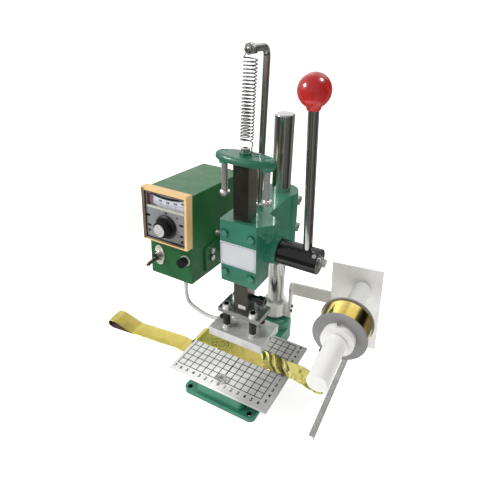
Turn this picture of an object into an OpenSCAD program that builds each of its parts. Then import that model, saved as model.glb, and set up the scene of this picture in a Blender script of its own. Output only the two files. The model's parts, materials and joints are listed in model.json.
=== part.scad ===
// Bench hand press for hot foil stamping, millimetres.
// Origin: centre of the base's four bolt holes, on the underside of the base.
// +X right, +Y towards the column, +Z up, operator at -Y.

/* [Base and column] */
// Width of the base flange
base_w = 110; // [100:1:120]
// Thickness of the base flange
base_t = 8; // [6:0.5:10]
// Spacing of the bolt holes along X
bolt_dx = 93.8; // [86:0.2:96]
// Spacing of the bolt holes along Y
bolt_dy = 111.6; // [104:0.2:112]
// Diameter of the bolt holes
bolt_hole = 7; // [5.5:0.5:8]
// Diameter of the column
column_d = 25; // [24:0.5:26]
// Distance from the origin back to the column axis
column_y = 108.7; // [106:0.1:112]
// Height of the column's top above the floor
column_top = 354; // [330:1:380]

/* [Work table] */
// Width of the work table
table_w = 150; // [140:1:160]
// Depth of the work table
table_d = 130; // [124:1:136]
// Height of the table's top face
table_top = 38; // [37:0.5:39]
// Thickness of the table plate
table_t = 4; // [3:0.5:4]

/* [Head] */
// Height of the underside of the head
head_z = 167; // [166:1:168]
// Height of the head casting
head_h = 86; // [84:1:88]
// Width of the head's front block and of its cover
head_w = 50; // [48:1:54]
// Outer radius of the column clamp
clamp_r = 23.5; // [21:0.5:25]

/* [Ram and drive] */
// Width and depth of the square ram
ram_s = 20; // [20:0.1:20]
// Module of the pinion and rack
gear_m = 1.5; // [1.5:0.1:1.5]
// Number of pinion teeth
gear_n = 18; // [18:1:18]
// Half the long axis of the yoke plate
yoke_a = 37.7; // [36:0.1:40]
// Half the short axis of the yoke plate
yoke_b = 17; // [15:0.5:18]

/* [Lever] */
// Forward lean of the lever at rest, in degrees
lever_lean = 6.5; // [4:0.5:8]
// Distance from the shaft axis to the centre of the ball
lever_len = 199; // [180:1:210]
// Diameter of the lever rod
lever_d = 11; // [10:0.5:12]
// Diameter of the ball knob
ball_d = 32.7; // [30:0.1:35]

/* [Heater] */
// Width of the heater block
heater_w = 80; // [76:1:84]
// Depth of the heater block
heater_d = 50.5; // [50:0.5:52]
// Thickness of the heater block
heater_t = 13; // [13:0.5:13]

/* [Foil rack] */
// Yaw of the rack about the column, in degrees
rack_yaw = 2.8; // [1:0.1:4]
// Upward slope of the rack arm, in degrees
rack_slope = 3.6; // [3:0.1:4]
// Radius of the two foil discs
disc_r = 33.8; // [33:0.1:36]
// Radius of the foil rod
rod_r = 12.3; // [12:0.1:12.5]
// Outer radius of the foil roll
roll_r = 32; // [26:0.5:32]
// Width of the foil
foil_w = 29.4; // [29:0.1:29.4]

/* [Control box] */
// Width of the box
box_w = 69; // [68:1:70]
// Depth of the box
box_d = 128; // [126:1:130]
// Height of the box
box_h = 127.5; // [126:0.5:130]
// Backward tilt of the box on its bracket, in degrees
box_tilt = 4.4; // [4:0.1:5]

/* [Hidden] */

$fn = 64;
e = 0.01;
cy = column_y;
head_top = head_z + head_h;         // 253
ram_y0 = 1.45;                      // front face of the ram
ram_y1 = ram_y0 + ram_s;            // rear face of the ram, the tips of the rack
ram_cy = ram_y0 + ram_s / 2;
pitch_r = gear_m * gear_n / 2;      // 13.5
pin_y = ram_y1 - 1.45 + pitch_r;    // 33.5, axis of the pinion
pin_z = head_z + 41;                // 208
boss_x = 38.3;                      // outer face of the pinion boss
stop_x = 27.3;
stop_gap = 23.3;
yoke_z = 322;
yoke_t = 8;
heater_z = 75.5;
plate_z = 113;
plate_t = 7;
green = [0.16, 0.42, 0.30];
steel = [0.72, 0.73, 0.74];
black = [0.07, 0.07, 0.08];
gold = [0.85, 0.74, 0.30];

// ---------- helpers ----------

module rrect(x0, x1, y0, y1, r) {
  translate([x0 + r, y0]) square([x1 - x0 - 2 * r, y1 - y0]);
  translate([x0, y0 + r]) square([x1 - x0, y1 - y0 - 2 * r]);
  for (x = [x0 + r, x1 - r], y = [y0 + r, y1 - r]) translate([x, y]) circle(r, $fn = 48);
}
// cylinders along the three axes, from the given end
module cx(x, y, z, r, l, f = 48) translate([x, y, z]) rotate([0, 90, 0]) cylinder(r = r, h = l, $fn = f);
module cyl_y(x, y, z, r, l, f = 48) translate([x, y, z]) rotate([-90, 0, 0]) cylinder(r = r, h = l, $fn = f);
module cz(x, y, z, r, l, f = 48) translate([x, y, z]) cylinder(r = r, h = l, $fn = f);
// hexagonal prism by its width across flats, along +Z
module hexz(af, h) cylinder(r = af / 2 / cos(30), h = h, $fn = 6);
// round bar between two points
module bar(p, q, r, f = 24) {
  v = q - p; l = norm(v);
  translate(p) rotate([0, acos(v[2] / l), atan2(v[1], v[0])]) cylinder(r = r, h = l, $fn = f);
}
// round bar swept along the points p, with its end directions
function unit(v) = v / norm(v);
function ring(p, i, r, n, t0, t1) = let (m = len(p) - 1, t = i == 0 ? t0 : i == m ? t1 : unit(p[i + 1] - p[i - 1]),
    u = unit(cross([1, 0.02, 0.01], t)), v = cross(t, u))
  [for (k = [0:n - 1]) p[i] + r * (cos(360 * k / n) * u + sin(360 * k / n) * v)];
module sweep(p, r, n, t0, t1) {
  m = len(p);
  polyhedron(points = [for (i = [0:m - 1]) each ring(p, i, r, n, t0, t1)],
    faces = concat([[for (k = [0:n - 1]) k]], [[for (k = [n - 1:-1:0]) (m - 1) * n + k]],
      [for (i = [0:m - 2], k = [0:n - 1]) each [[i * n + k, i * n + n + k, i * n + (k + 1) % n], [i * n + (k + 1) % n, i * n + n + k, i * n + n + (k + 1) % n]]]));
}
// frames that carry tilted groups
module rack() translate([0, cy, 0]) rotate([0, 0, rack_yaw]) children();
module rack_tilt() rack() translate([30.2, 0, 106.7]) rotate([0, -rack_slope, 0]) children();
module box_frame() translate([-76.3, 10.2, 262.7]) rotate([-box_tilt, 0, 0]) children();
module lever_frame() translate([0, pin_y, pin_z]) rotate([lever_lean, 0, 0]) children();

// flat profile of thickness t along the points p, for a strip of film
function seg_n(a, b) = let (v = b - a, l = norm(v)) [-v[1] / l, v[0] / l];
function pt_n(p, i) = let (n = len(p) - 1,
    a = seg_n(p[max(i - 1, 0)], p[max(i - 1, 0) + 1]),
    b = seg_n(p[min(i, n - 1)], p[min(i, n - 1) + 1]),
    s = a + b, k = 2 / (s * s)) s * k;
function strip(p, t) = concat([for (i = [0:len(p) - 1]) p[i] + pt_n(p, i) * t / 2],
    [for (i = [len(p) - 1:-1:0]) p[i] - pt_n(p, i) * t / 2]);

// ---------- base and column ----------

module base_casting() color(green) difference() {
  union() {
    linear_extrude(base_t) rrect(-base_w / 2, base_w / 2, -62.5, 66, 8);
    linear_extrude(table_top - table_t) rrect(-36, 36, -59, 60, 6);
    translate([-27, 50, 0]) cube([54, cy - 50, 26]);
    translate([0, cy, 0]) rotate_extrude($fn = 72) polygon(concat([[0, 0], [27, 0], [27, 26]],
      [for (a = [10:10:90]) [21 + 6 * cos(a), 26 + 16 * sin(a)]], [[0, 42]]));
  }
  cz(0, cy, 6, column_d / 2, 60, 72);
  for (x = [-bolt_dx / 2, bolt_dx / 2], y = [-bolt_dy / 2, bolt_dy / 2]) cz(x, y, -1, bolt_hole / 2, 12);
  cz(0, -48.7, 20, 4, 20);
  cyl_y(0, cy + 12, 16, 4, 20);
}

module column() color("silver") translate([0, cy, 6]) rotate_extrude($fn = 72)
  polygon([[0, 0], [column_d / 2, 0], [column_d / 2, column_top - 7.5], [column_d / 2 - 1.5, column_top - 6], [0, column_top - 6]]);

module base_screws() color(steel) {
  // table lock screw
  difference() {
    union() {
      cz(0, -48.7, table_top, 7, 5);
      cz(0, -48.7, 20, 4, table_top - 20 + e);
    }
    translate([0, -48.7, table_top + 2]) hexz(6, 4);
  }
  // column lock screw in the back of the socket
  difference() {
    cyl_y(0, cy + column_d / 2, 16, 4, 14);
    translate([0, cy + column_d / 2 + 9, 16]) rotate([-90, 0, 0]) hexz(4, 6);
  }
}

module work_table() color([0.80, 0.81, 0.82]) difference() {
  translate([-table_w / 2, -table_d / 2, table_top - table_t]) cube([table_w, table_d, table_t]);
  cz(0, -48.7, table_top - table_t - 1, 4, table_t + 2);
}

// ---------- foil rack ----------

module support_collar() color(steel) difference() {
  union() {
    cz(0, cy, 47, 18, 23, 72);
    rack() translate([12.6, -6.5, 47]) cube([11.2, 8, 23]);
  }
  cz(0, cy, 46, column_d / 2, 25, 72);
  // split at the back, closed by the clamp screws
  translate([-28, cy - 1, 46]) cube([17, 2, 25]);
  rack() for (b = collar_b) cx(15, b[0], b[1], 2, 10, 32);
}

// y and z of the two screws that hold the post on the collar
collar_b = [[-4.2, 59.5], [-1.4, 66.4]];
module collar_bolts() color([0.4, 0.4, 0.4]) rack() for (b = collar_b) difference() {
  union() {
    cx(15, b[0], b[1], 2, 13, 32);
    cx(27.8, b[0], b[1], 2.4, 2.4, 32);
  }
  translate([29, b[0], b[1]]) rotate([0, 90, 0]) hexz(2.4, 2);
}

module rack_post() color([0.80, 0.79, 0.76]) rack() difference() {
  union() {
    translate([23.8, -6.5, 47]) cube([4, 8, 58]);
    cx(23.8, -2.5, 105, 4, 4);
    translate([23.8, -2.5, 86.3]) cube([4, 4, 22]);
  }
  for (b = collar_b) cx(23, b[0], b[1], 2, 6, 32);
  cyl_y(25.8, -8, 98, 1.5, 12, 32);
}

module rack_arm() color([0.62, 0.62, 0.60]) difference() {
  rack_tilt() translate([-6.6, 1.5, -20.6]) cube([91.6, 3, 20.6]);
  rack() cyl_y(25.8, 0, 98, 1.5, 8, 32);
}

module rack_bolts() color(steel) {
  // screw that holds the arm on the back of the post
  rack() {
    cyl_y(25.8, -8.6, 98, 1.9, 2.1, 32);
    cyl_y(25.8, -6.6, 98, 1.5, 13.6, 32);
    translate([25.8, 4.5, 98]) rotate([-90, 0, 0]) hexz(5.5, 2.4);
  }
  // end screw of the foil rod, from behind the plate
  rack_tilt() {
    cyl_y(99.3, -18.5, 19.6, 3, 20);
    translate([99.3, 1.5, 19.6]) rotate([-90, 0, 0]) hexz(10, 4);
  }
}

module foil_plate() color([0.78, 0.77, 0.75]) rack_tilt() difference() {
  translate([55.4, -0.5, -82]) cube([69.8, 2, 133.9]);
  cyl_y(99.3, -2, 19.6, 3, 6);
}

module foil_rod() color([0.94, 0.94, 0.93]) rack_tilt() difference() {
  translate([99.3, -0.5, 19.6]) rotate([90, 0, 0]) rotate_extrude($fn = 72)
    polygon(concat([[0, 0], [rod_r, 0]], [for (a = [0:15:90]) [rod_r - 2 + 2 * cos(a), 188 + 2 * sin(a)]], [[0, 190]]));
  cyl_y(99.3, -18.5, 19.6, 3, 20);
}

module foil_discs() color([0.60, 0.60, 0.62]) rack_tilt() for (y = [-110.5, -78]) difference() {
  cyl_y(99.3, y, 19.6, disc_r, 2.5, 96);
  cyl_y(99.3, y - 1, 19.6, rod_r, 5, 72);
}

module disc_hubs() color([0.93, 0.93, 0.92]) rack_tilt() for (y = [-120.5, -75.5]) difference() {
  cyl_y(99.3, y, 19.6, 20.3, 10, 72);
  cyl_y(99.3, y - 1, 19.6, rod_r, 12, 72);
  translate([99.3, y + 5, 19.6]) cylinder(r = 2.5, h = 25, $fn = 24);
}

module hub_set_screws() color(steel) rack_tilt() for (y = [-115.5, -70.5]) difference() {
  translate([99.3, y, 19.6 + rod_r]) cylinder(r = 2.5, h = 11, $fn = 24);
  translate([98.3, y - 4, 19.6 + rod_r + 10]) cube([0.9, 8, 2]);
}

module guide_bar() color([0.66, 0.66, 0.65]) rack_tilt() {
  translate([89, -181.5, -78.2]) cube([6.5, 181, 1.2]);
  translate([94.3, -181.5, -83]) cube([1.2, 181, 5]);
}

// centre line of the foil over the table: from the roll, down to the guide
// bar, over the table and off its left edge, then along the bench
web_a = [[106.6, 111.6], [110.6, 107], [116, 100.6], [120.6, 93.6], [124, 84], [125.4, 70], [125.9, 56], [125.9, 46], [125, 38.6], [121.4, 34], [116, 32],
  [110, 32.6], [100, 34.6], [88, 37.4], [78, 39], [70, 38.6], [40, 38.4], [0, 38.4], [-40, 38.4],
  [-66, 38.4], [-74, 38.8], [-78.5, 36.4], [-82, 30], [-86, 19], [-91, 9], [-97, 3], [-104, 0.9], [-109, 0.7]];
web_b = [[-104, 0.8], [-140, 0.8], [-180, 1], [-198, 1.3], [-206, 3.8], [-218, 9.4], [-229, 13.4], [-236, 14.2],
  [-241, 12.2], [-242.6, 8.2], [-241, 4], [-236, 1.4], [-226, 0.5], [-210, 0.4], [-193, 0.4]];

module foil_web() color(gold) {
  translate([0, 27.4, 0]) rotate([90, 0, 0]) linear_extrude(foil_w) polygon(strip(web_a, 0.4));
  translate([-107, 0, 0]) rotate([0, 0, 6.2]) translate([107, 28.4, 0]) rotate([90, 0, 0])
    linear_extrude(foil_w - 3) polygon(strip(web_b, 0.4));
}

module foil_roll() color(gold) rack_tilt() difference() {
  cyl_y(99.3, -107.7, 19.6, roll_r, foil_w, 96);
  cyl_y(99.3, -109, 19.6, 16, foil_w + 4, 72);
}

module foil_core() color([0.72, 0.62, 0.48]) rack_tilt() difference() {
  cyl_y(99.3, -107.7, 19.6, 16, foil_w, 72);
  cyl_y(99.3, -109, 19.6, rod_r + 0.08, foil_w + 4, 72);
}

// ---------- head ----------

module lobe_2d() intersection() {
  translate([13.5, 12]) circle(24.5, $fn = 96);
  polygon([[8, 1.4], [25, 1.4], [25, -2.7], [37, 11], [60, 38], [60, 60], [8, 60]]);
}

module head_casting() color(green) difference() {
  union() {
    // front block, neck and column clamp
    translate([0, 0, head_z]) linear_extrude(head_h) rrect(-head_w / 2, head_w / 2, 1.4, 30, 1);
    translate([-19.5, 28, head_z + 11]) cube([39, cy - 28, head_h - 11]);
    cz(0, cy, head_z, clamp_r, head_h, 96);
    // rear ears of the split clamp
    translate([0, 0, head_z + 12]) linear_extrude(61) rrect(-13, 13, cy + 10, 142, 3);
    // pinion bosses
    cx(19, pin_y, pin_z, 18.5, boss_x - 19, 72);
    cx(-27, pin_y, pin_z, 16, 8, 72);
    // rounded shoulder over the pinion boss
    translate([0, 0, head_top - 12]) linear_extrude(12) lobe_2d();
    translate([0, 0, head_top - 16]) linear_extrude(5) intersection() {
      translate([13.5, 14]) circle(21.5, $fn = 72);
      translate([20, 1.4]) square([40, 50]);
    }
    cz(20, 32, pin_z, 13.6, head_top - 10 - pin_z, 72);
  }
  // ram slot, closed at the front by the cover
  translate([-ram_s / 2 - 0.05, 0, head_z - 1]) cube([ram_s + 0.1, ram_y1 + 0.05, head_h + 2]);
  // gear chamber, bush bores
  cx(-10.2, pin_y, pin_z, 16.2, 20.4, 72);
  cx(10, pin_y, pin_z, 15.5, 30, 72);
  cx(-30, pin_y, pin_z, 11, 21, 72);
  // column bore and clamp slot
  cz(0, cy, head_z - 1, column_d / 2 + 0.05, head_h + 2, 72);
  translate([-1.5, cy, head_z - 1]) cube([3, 40, head_h + 2]);
  for (z = [head_z + 22, head_z + 64]) {
    cx(-30, 134, z, 4.05, 60);
    cx(-17, 134, z, 7.4, 4);
    cx(13, 134, z, 7.4, 5);
  }
  // threaded holes: cover screws, spring post, bracket, gib adjuster
  for (x = [-18, 18], z = [head_z + 14.7, head_z + 69]) cyl_y(x, 0, z, 2.5, 16);
  post_frame() translate([0, 0, -13]) cylinder(r = post_r, h = 20, $fn = 40);
  for (z = [head_z + 27, head_z + 49]) cx(-30, 70, z, 3, 23);
  cx(-30, 5, head_z + 60, 3, 21);
}

module front_cover() color([0.17, 0.45, 0.32]) difference() {
  translate([0, 0, head_z]) linear_extrude(head_h) rrect(-head_w / 2, head_w / 2, -5, 1.4, 1);
  for (x = [-18, 18], z = [head_z + 14.7, head_z + 69]) {
    cyl_y(x, -6, z, 2.55, 10);
    cyl_y(x, -6, z, 6, 2);
  }
}

module cover_screws() color([0.20, 0.48, 0.35]) {
  for (x = [-18, 18], z = [head_z + 14.7, head_z + 69]) {
    cyl_y(x, -4, z, 2.5, 17);
    translate([x, -7.6, z]) rotate([-90, 0, 0]) rotate([0, 0, 20 + x]) hexz(8, 3.6);
  }
  // ram adjuster with its lock nut in the left side of the head
  difference() {
    cx(-36.5, 5, head_z + 60, 3, 26);
    translate([-38, 5, head_z + 60]) rotate([0, 90, 0]) hexz(3, 4);
  }
  translate([-30, 5, head_z + 60]) rotate([0, 90, 0]) difference() { hexz(10, 5); translate([0, 0, -1]) cylinder(r = 3, h = 7, $fn = 32); }
}

module nameplate() color([0.86, 0.88, 0.90]) translate([-24.6, -5.5, 192]) cube([49.2, 0.5, 32]);

module pinch_bolts() color(steel) for (z = [head_z + 22, head_z + 64]) {
  cx(-20, 134, z, 4, 33);
  difference() {
    translate([13, 134, z]) rotate([0, 90, 0]) hexz(12.8, 5.3);
    cx(17.6, 134, z, 4.8, 3);
  }
  translate([-17.5, 134, z]) rotate([0, 90, 0]) difference() { hexz(12.8, 4.5); translate([0, 0, -1]) cylinder(r = 4, h = 7, $fn = 32); }
}

// bent rod that carries the spring: leans back, then turns forward over the yoke
post_lean = 3.6;
post_r = 3.85;
bend_r = 10;
bend_a = 90.45;
post_h = 171;
arm_l = 35;
module post_frame() translate([0, 46, head_top]) rotate([-post_lean, 0, 3.4]) children();
module bend_frame() post_frame() translate([0, -bend_r, post_h]) rotate([90, 0, 90]) children();
// frame at the tip of the arm, +Z back along the arm
module arm_frame() bend_frame() rotate([0, 0, bend_a]) translate([bend_r, arm_l, 0]) rotate([90, 0, 0]) children();
module spring_post() color("silver") {
  post_frame() translate([0, 0, -13]) cylinder(r = post_r, h = 13.5 + post_h, $fn = 40);
  bend_frame() {
    rotate_extrude(angle = bend_a, $fn = 120) translate([bend_r, 0]) circle(post_r - 0.03, $fn = 40);
    rotate([0, 0, bend_a]) translate([bend_r, -0.5, 0]) rotate([-90, 0, 0]) cylinder(r = post_r, h = arm_l + 0.5, $fn = 40);
  }
}

module spring_post_nuts() color(steel) {
  translate([0, 46, head_top]) difference() {
    union() { hexz(10.6, 5.4); translate([0, 0, 5.4 - e]) cylinder(r1 = 5, r2 = 4.6, h = 1.4, $fn = 32); }
    rotate([-post_lean, 0, 3.4]) translate([0, 0, -1]) cylinder(r = post_r, h = 12, $fn = 40);
  }
  // nut near the tip of the arm, with the spring's hook behind it
  arm_frame() translate([0, 0, 1.4]) rotate([0, 0, 12]) difference() {
    hexz(10.4, 5);
    translate([0, 0, -2]) cylinder(r = post_r, h = 9, $fn = 40);
  }
}

module pinion_bushes() color([0.72, 0.58, 0.36]) {
  difference() {
    cx(10.3, pin_y, pin_z, 15.5, boss_x - 10.3, 72);
    cx(9, pin_y, pin_z, 7.03, 32, 64);
  }
  difference() {
    cx(-27, pin_y, pin_z, 11, 16.7, 72);
    cx(-28, pin_y, pin_z, 7.03, 20, 64);
  }
}

// coil of the extension spring as a tube, with its two end wires
module return_spring() color(steel) {
  difference() {
    bar([0.4, 13, 346], [2, 16.8, 424.4], 7, 48);
    bar([0.38, 12.95, 345], [2.02, 16.85, 425.4], 5.7, 48);
  }
  bar([6.7, 13, 346.4], [5.4, 14.6, 334.2], 0.6, 12);
  bar([8.3, 16.8, 424], [6.1, 16.6, 431], 0.6, 12);
}

// ---------- control box ----------

module box_bracket() color([0.20, 0.30, 0.26]) difference() {
  union() {
    // leg on the side of the box
    translate([-76.3, 32, 140]) cube([3, 51, 36.5]);
    // cross leg to the neck
    translate([0, 83, 0]) rotate([90, 0, 0]) linear_extrude(3) polygon([[-76.3, 140], [-66, 140], [-19.5, 184], [-19.5, 226], [-22.5, 226], [-66, 176.5], [-76.3, 176.5]]);
    // flange on the left face of the neck
    translate([-22.5, 60, 184]) cube([3, 23, 42]);
  }
  for (z = [157, 168]) cx(-80, 34 + z / 14, z, 2.6, 10);
  for (z = [head_z + 27, head_z + 49]) cx(-24, 70, z, 3.1, 8);
}

module bracket_bolts() color(steel) {
  for (z = [157, 168]) {
    cx(-80.4, 34 + z / 14, z, 2.5, 7.2);
    translate([-73.3, 34 + z / 14, z]) rotate([0, 90, 0]) hexz(8, 3.6);
    translate([-81, 34 + z / 14, z]) rotate([0, 90, 0]) difference() { hexz(8, 3.2); translate([0, 0, -1]) cylinder(r = 2.5, h = 6, $fn = 24); }
  }
  for (z = [head_z + 27, head_z + 49]) {
    cx(-22.6, 70, z, 3, 14);
    translate([-26.5, 70, z]) rotate([0, 90, 0]) hexz(10, 4);
  }
}

module control_box() color([0.15, 0.38, 0.22]) difference() {
  box_frame() difference() {
    translate([-box_w, 0, -box_h]) cube([box_w, box_d, box_h]);
    translate([1.5 - box_w, 1.5, 1.5 - box_h]) cube([box_w - 3, box_d, box_h - 3]);
    translate([-64.6, -1, -65.1]) cube([61.7, 4, 61.6]);          // controller
    cyl_y(-54, -1, -97, 6, 4);                                    // toggle switch
    cyl_y(-10, -1, -93, 6.1, 4);                                  // fuse holder
    translate([-21.7, 15, -box_h - 1]) cylinder(r = 5, h = 4, $fn = 48);  // heater cable
  }
  for (z = [157, 168]) cx(-80, 34 + z / 14, z, 2.6, 8);
}

module box_rear_cover() color([0.14, 0.35, 0.21]) box_frame() difference() {
  translate([1.5 - box_w, box_d - 10, 1.5 - box_h]) cube([box_w - 3, 10, box_h - 3]);
  translate([2.7 - box_w, box_d - 12, 2.7 - box_h]) cube([box_w - 5.4, 10.5, box_h - 5.4]);
  translate([-48.2, box_d - 3, -110.2]) cube([27.4, 6, 20.4]);
  for (i = [0:5]) translate([-52, box_d - 3, -30 - 7 * i]) cube([35, 6, 2.4]);
}

module controller_bezel() color([0.86, 0.74, 0.55]) box_frame() difference() {
  translate([-70.2, -12.6, -71]) cube([72.5, 12.6, 74.3]);
  translate([-65.2, -14, -66.5]) cube([63, 15, 65]);
}

module controller_body() color([0.35, 0.36, 0.37]) box_frame() difference() {
  union() {
    translate([-65.2, -10, -66.5]) cube([63, 10, 65]);
    translate([-64.5, -e, -65]) cube([61.5, 62, 61.4]);
  }
  translate([-63.7, -11, -21.5]) cube([60.2, 3.5, 17.5]);          // window
  translate([-63.7, -8, -41]) cube([60.2, 3, 37]);                 // needle chamber
  cyl_y(-34, -6, -36, 1.02, 4);
  cyl_y(-32, -11, -45.5, 3.03, 15);
}

module toggle_switch() color(steel) box_frame() difference() {
  union() {
    cyl_y(-54, -0.8, -97, 10, 0.8);
    for (z = [-106, -88]) cyl_y(-54, -0.8, z, 6, 0.8);
    translate([-60, -0.8, -106]) cube([12, 0.8, 18]);
    cyl_y(-54, -8, -97, 5.9, 9.5);
    translate([-54, -3.4, -97]) rotate([-90, 0, 0]) hexz(14, 2.6);
    translate([-60.5, 1.5, -111]) cube([13, 20, 28]);
  }
  cyl_y(-54, -9, -97, 3.6, 9.8);
}

module fuse_holder() color([0.80, 0.79, 0.74]) box_frame() difference() {
  union() {
    cyl_y(-10, -2, -93, 7.5, 2);
    cyl_y(-10, -1, -93, 6, 36);
  }
  cyl_y(-10, -3, -93, 4.7, 34);
}

module mains_inlet() color(black) box_frame() {
  difference() {
    union() {
      translate([-50, box_d, -112]) cube([31, 2.5, 24]);
      translate([-48, box_d - 18, -110]) cube([27, 18 + e, 20]);
    }
    translate([-46.5, box_d - 14, -108.3]) cube([24, 18, 16.6]);
  }
  color(steel) for (p = [[-41.5, -101.5], [-34.5, -97], [-27.5, -101.5]]) translate([p[0] - 1, box_d - 14 - e, p[1] - 2]) cube([2, 12, 4]);
}

module cable_gland() color(black) box_frame() translate([-21.7, 15, -box_h]) difference() {
  union() {
    translate([0, 0, -2.5]) cylinder(r = 7.5, h = 2.5, $fn = 48);
    translate([0, 0, -e]) cylinder(r = 5, h = 1.6, $fn = 48);
    translate([0, 0, 1.5]) cylinder(r = 6.5, h = 2, $fn = 48);
  }
  translate([0, 0, -4]) cylinder(r = 3, h = 9, $fn = 48);
}

// centre line of the heater lead, from inside the grommet to the heater block
lead_r = 2.9;
lead = [[-98, 15.3, 133.6], [-98, 14.9, 128], [-98.1, 14.7, 120], [-98.3, 14.6, 112], [-98.2, 14.5, 104], [-97.2, 14.4, 96.5],
  [-94.8, 14.3, 91], [-90.6, 14.2, 87], [-85, 14, 84.3], [-78, 13.6, 82.2], [-70, 13.2, 80.4], [-62, 12.8, 79.4],
  [-54, 12.5, 79.6], [-47, 12.4, 80.9], [-43, 12.4, 81.7], [-40.02, 12.4, 82]];
module heater_cable() color([0.80, 0.80, 0.76]) sweep(lead, lead_r, 12, [0, -0.0767, -0.99705], [1, 0, 0]);

// ---------- ram ----------

// half widths of a rack tooth space: at the ram's face and at the root
space_top = PI * gear_m / 4 + 0.08 + 1.45 * tan(20);
space_root = PI * gear_m / 4 + 0.08 - 1.9 * tan(20);
module ram_bar() color([0.22, 0.20, 0.19]) difference() {
  translate([-ram_s / 2, ram_y0, 120]) cube([ram_s, ram_s, yoke_z - 120]);
  // rack teeth: a tooth faces the pinion axis height at rest
  for (i = [-5:9]) translate([0, ram_y1, pin_z + (i + 0.5) * PI * gear_m]) rotate([90, 0, 90])
    translate([0, 0, -ram_s / 2 - 1]) linear_extrude(ram_s + 2)
      polygon([[0.5, space_top + 0.5 * tan(20)], [-3.35, space_root], [-3.35, -space_root], [0.5, -space_top - 0.5 * tan(20)]]);
  cz(0, ram_cy, 119, 6, 32);                    // shank of the connection plate
  cx(5.5, ram_cy, 140, 3, 6);                   // clamp screw
  cz(0, ram_cy, yoke_z - 22, 3, 30);            // yoke screw
  translate([-3, ram_y0 - 1, 124.5]) cube([11, 2.2, 6.5]);   // key in the front face
}

// oval plate with rounded edges
module yoke_plate() color(green) translate([0, ram_cy, yoke_z]) difference() {
  union() {
    hull() for (q = [[0, 1.4], [1.2, 0.1], [3, 0], [5, 0.3], [6.8, 1.5], [7.7, 2.8], [8, 4]])
      translate([0, 0, q[0]]) linear_extrude(0.01) polygon([for (a = [0:7.5:352.5]) [(yoke_a - q[1]) * cos(a), (yoke_b - q[1]) * sin(a)]]);
    cylinder(r = 6.8, h = 11.4, $fn = 48);
  }
  for (x = [-stop_x, stop_x]) translate([x, 0, -1]) cylinder(r = 3.8, h = 12, $fn = 48);
  translate([0, 0, -1]) cylinder(r = 3.05, h = 14, $fn = 48);
}

module yoke_screw() color(steel) translate([0, ram_cy, 0]) difference() {
  union() {
    cz(0, 0, yoke_z - 20, 3, 31.4 + e);
    cz(0, 0, yoke_z + 11.4, 5, 4.6);
  }
  translate([0, 0, yoke_z + 13]) hexz(5, 5);
}

module stop_locknuts() color(steel) for (x = [-stop_x, stop_x]) translate([x, ram_cy, yoke_z - 5]) difference() {
  union() { hexz(12, 3.8); translate([0, 0, 3.8]) cylinder(r = 7.6, h = 1.2, $fn = 40); }
  translate([0, 0, -1]) cylinder(r = 3.78, h = 8, $fn = 48);
}

module stop_screw(x) color("silver") translate([x, ram_cy, head_top + stop_gap]) {
  translate([0, 0, 5.5]) cylinder(r = 3.75, h = yoke_z + yoke_t - head_top - stop_gap - 6, $fn = 48);
  hexz(9, 3.4);
  translate([0, 0, 3.4 - e]) cylinder(r1 = 6.4, r2 = 5.8, h = 2.2, $fn = 40);
}
module stop_screw_left() stop_screw(-stop_x);
module stop_screw_right() stop_screw(stop_x);

module connection_plate() color([0.45, 0.45, 0.45]) difference() {
  union() {
    translate([-31, -5.5, plate_z]) cube([62, 34.5, plate_t]);
    cz(0, ram_cy, plate_z + 1, 6, 37);
  }
  for (x = [-20, 20], y = [-1, 24]) cz(x, y, plate_z - 1, 3.05, 12);
}

module ram_clamp_screw() {
  color(black) difference() {
    union() {
      cx(6.05, ram_cy, 140, 3, 4);
      cx(10, ram_cy, 140, 4.6, 11.5);
      cx(21, ram_cy, 140, 6.3, 10);
    }
    translate([26, ram_cy, 140]) rotate([0, 90, 0]) hexz(6, 6);
  }
  // bright key set in the front face of the ram
  color(steel) translate([-3, ram_y0 - 0.9, 124.5]) cube([11, 2.1, 6.5]);
}

module plate_bolts() color(steel) for (x = [-20, 20], y = [-1, 24]) translate([x, y, 0]) {
  difference() {
    union() {
      cz(0, 0, 80, 3, 41);
      cz(0, 0, plate_z + plate_t, 6.2, 1.2);
      cz(0, 0, plate_z + plate_t + 1.2, 5.2, 6);
    }
    translate([0, 0, plate_z + plate_t + 4]) hexz(5.6, 5);
  }
  translate([0, 0, heater_z + heater_t]) difference() {
    union() { cylinder(r = 6.4, h = 1.2, $fn = 40); translate([0, 0, 1.2]) hexz(9.6, 3.8); }
    translate([0, 0, -1]) cylinder(r = 3, h = 8, $fn = 40);
  }
}

module insulating_spacers() color(black) for (x = [-20, 20], y = [-1, 24]) difference() {
  cz(x, y, heater_z + heater_t + 5, 5, plate_z - heater_z - heater_t - 5, 40);
  cz(x, y, 90, 3, 30, 40);
}

module heater_block() color([0.78, 0.78, 0.79]) difference() {
  translate([-heater_w / 2, -14.5, heater_z]) cube([heater_w, heater_d, heater_t]);
  for (x = [-20, 20], y = [-1, 24]) cz(x, y, 80, 3, 20, 40);
  cx(-41, 12.4, 82, 3, 82);
  cz(-2.2, 2.7, 86.5, 1.5, 4);
  cz(-35.4, 10.5, 86.8, 2, 3);
  cx(36, 7.6, 80.2, 1.2, 6);
}

module cartridge_heater() color([0.62, 0.60, 0.55]) cx(-40, 12.4, 82, 3, 76);

module thermocouple() color(black) translate([-35.4, 10.5, 0]) {
  cz(0, 0, 86.8, 2, 3);
  translate([0, 0, heater_z + heater_t]) cylinder(r = 2.6, h = 1.6, $fn = 32);
  translate([0, 0, heater_z + heater_t + 3.2]) sphere(r = 2.9, $fn = 32);
}

// ---------- lever and pinion ----------

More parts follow.
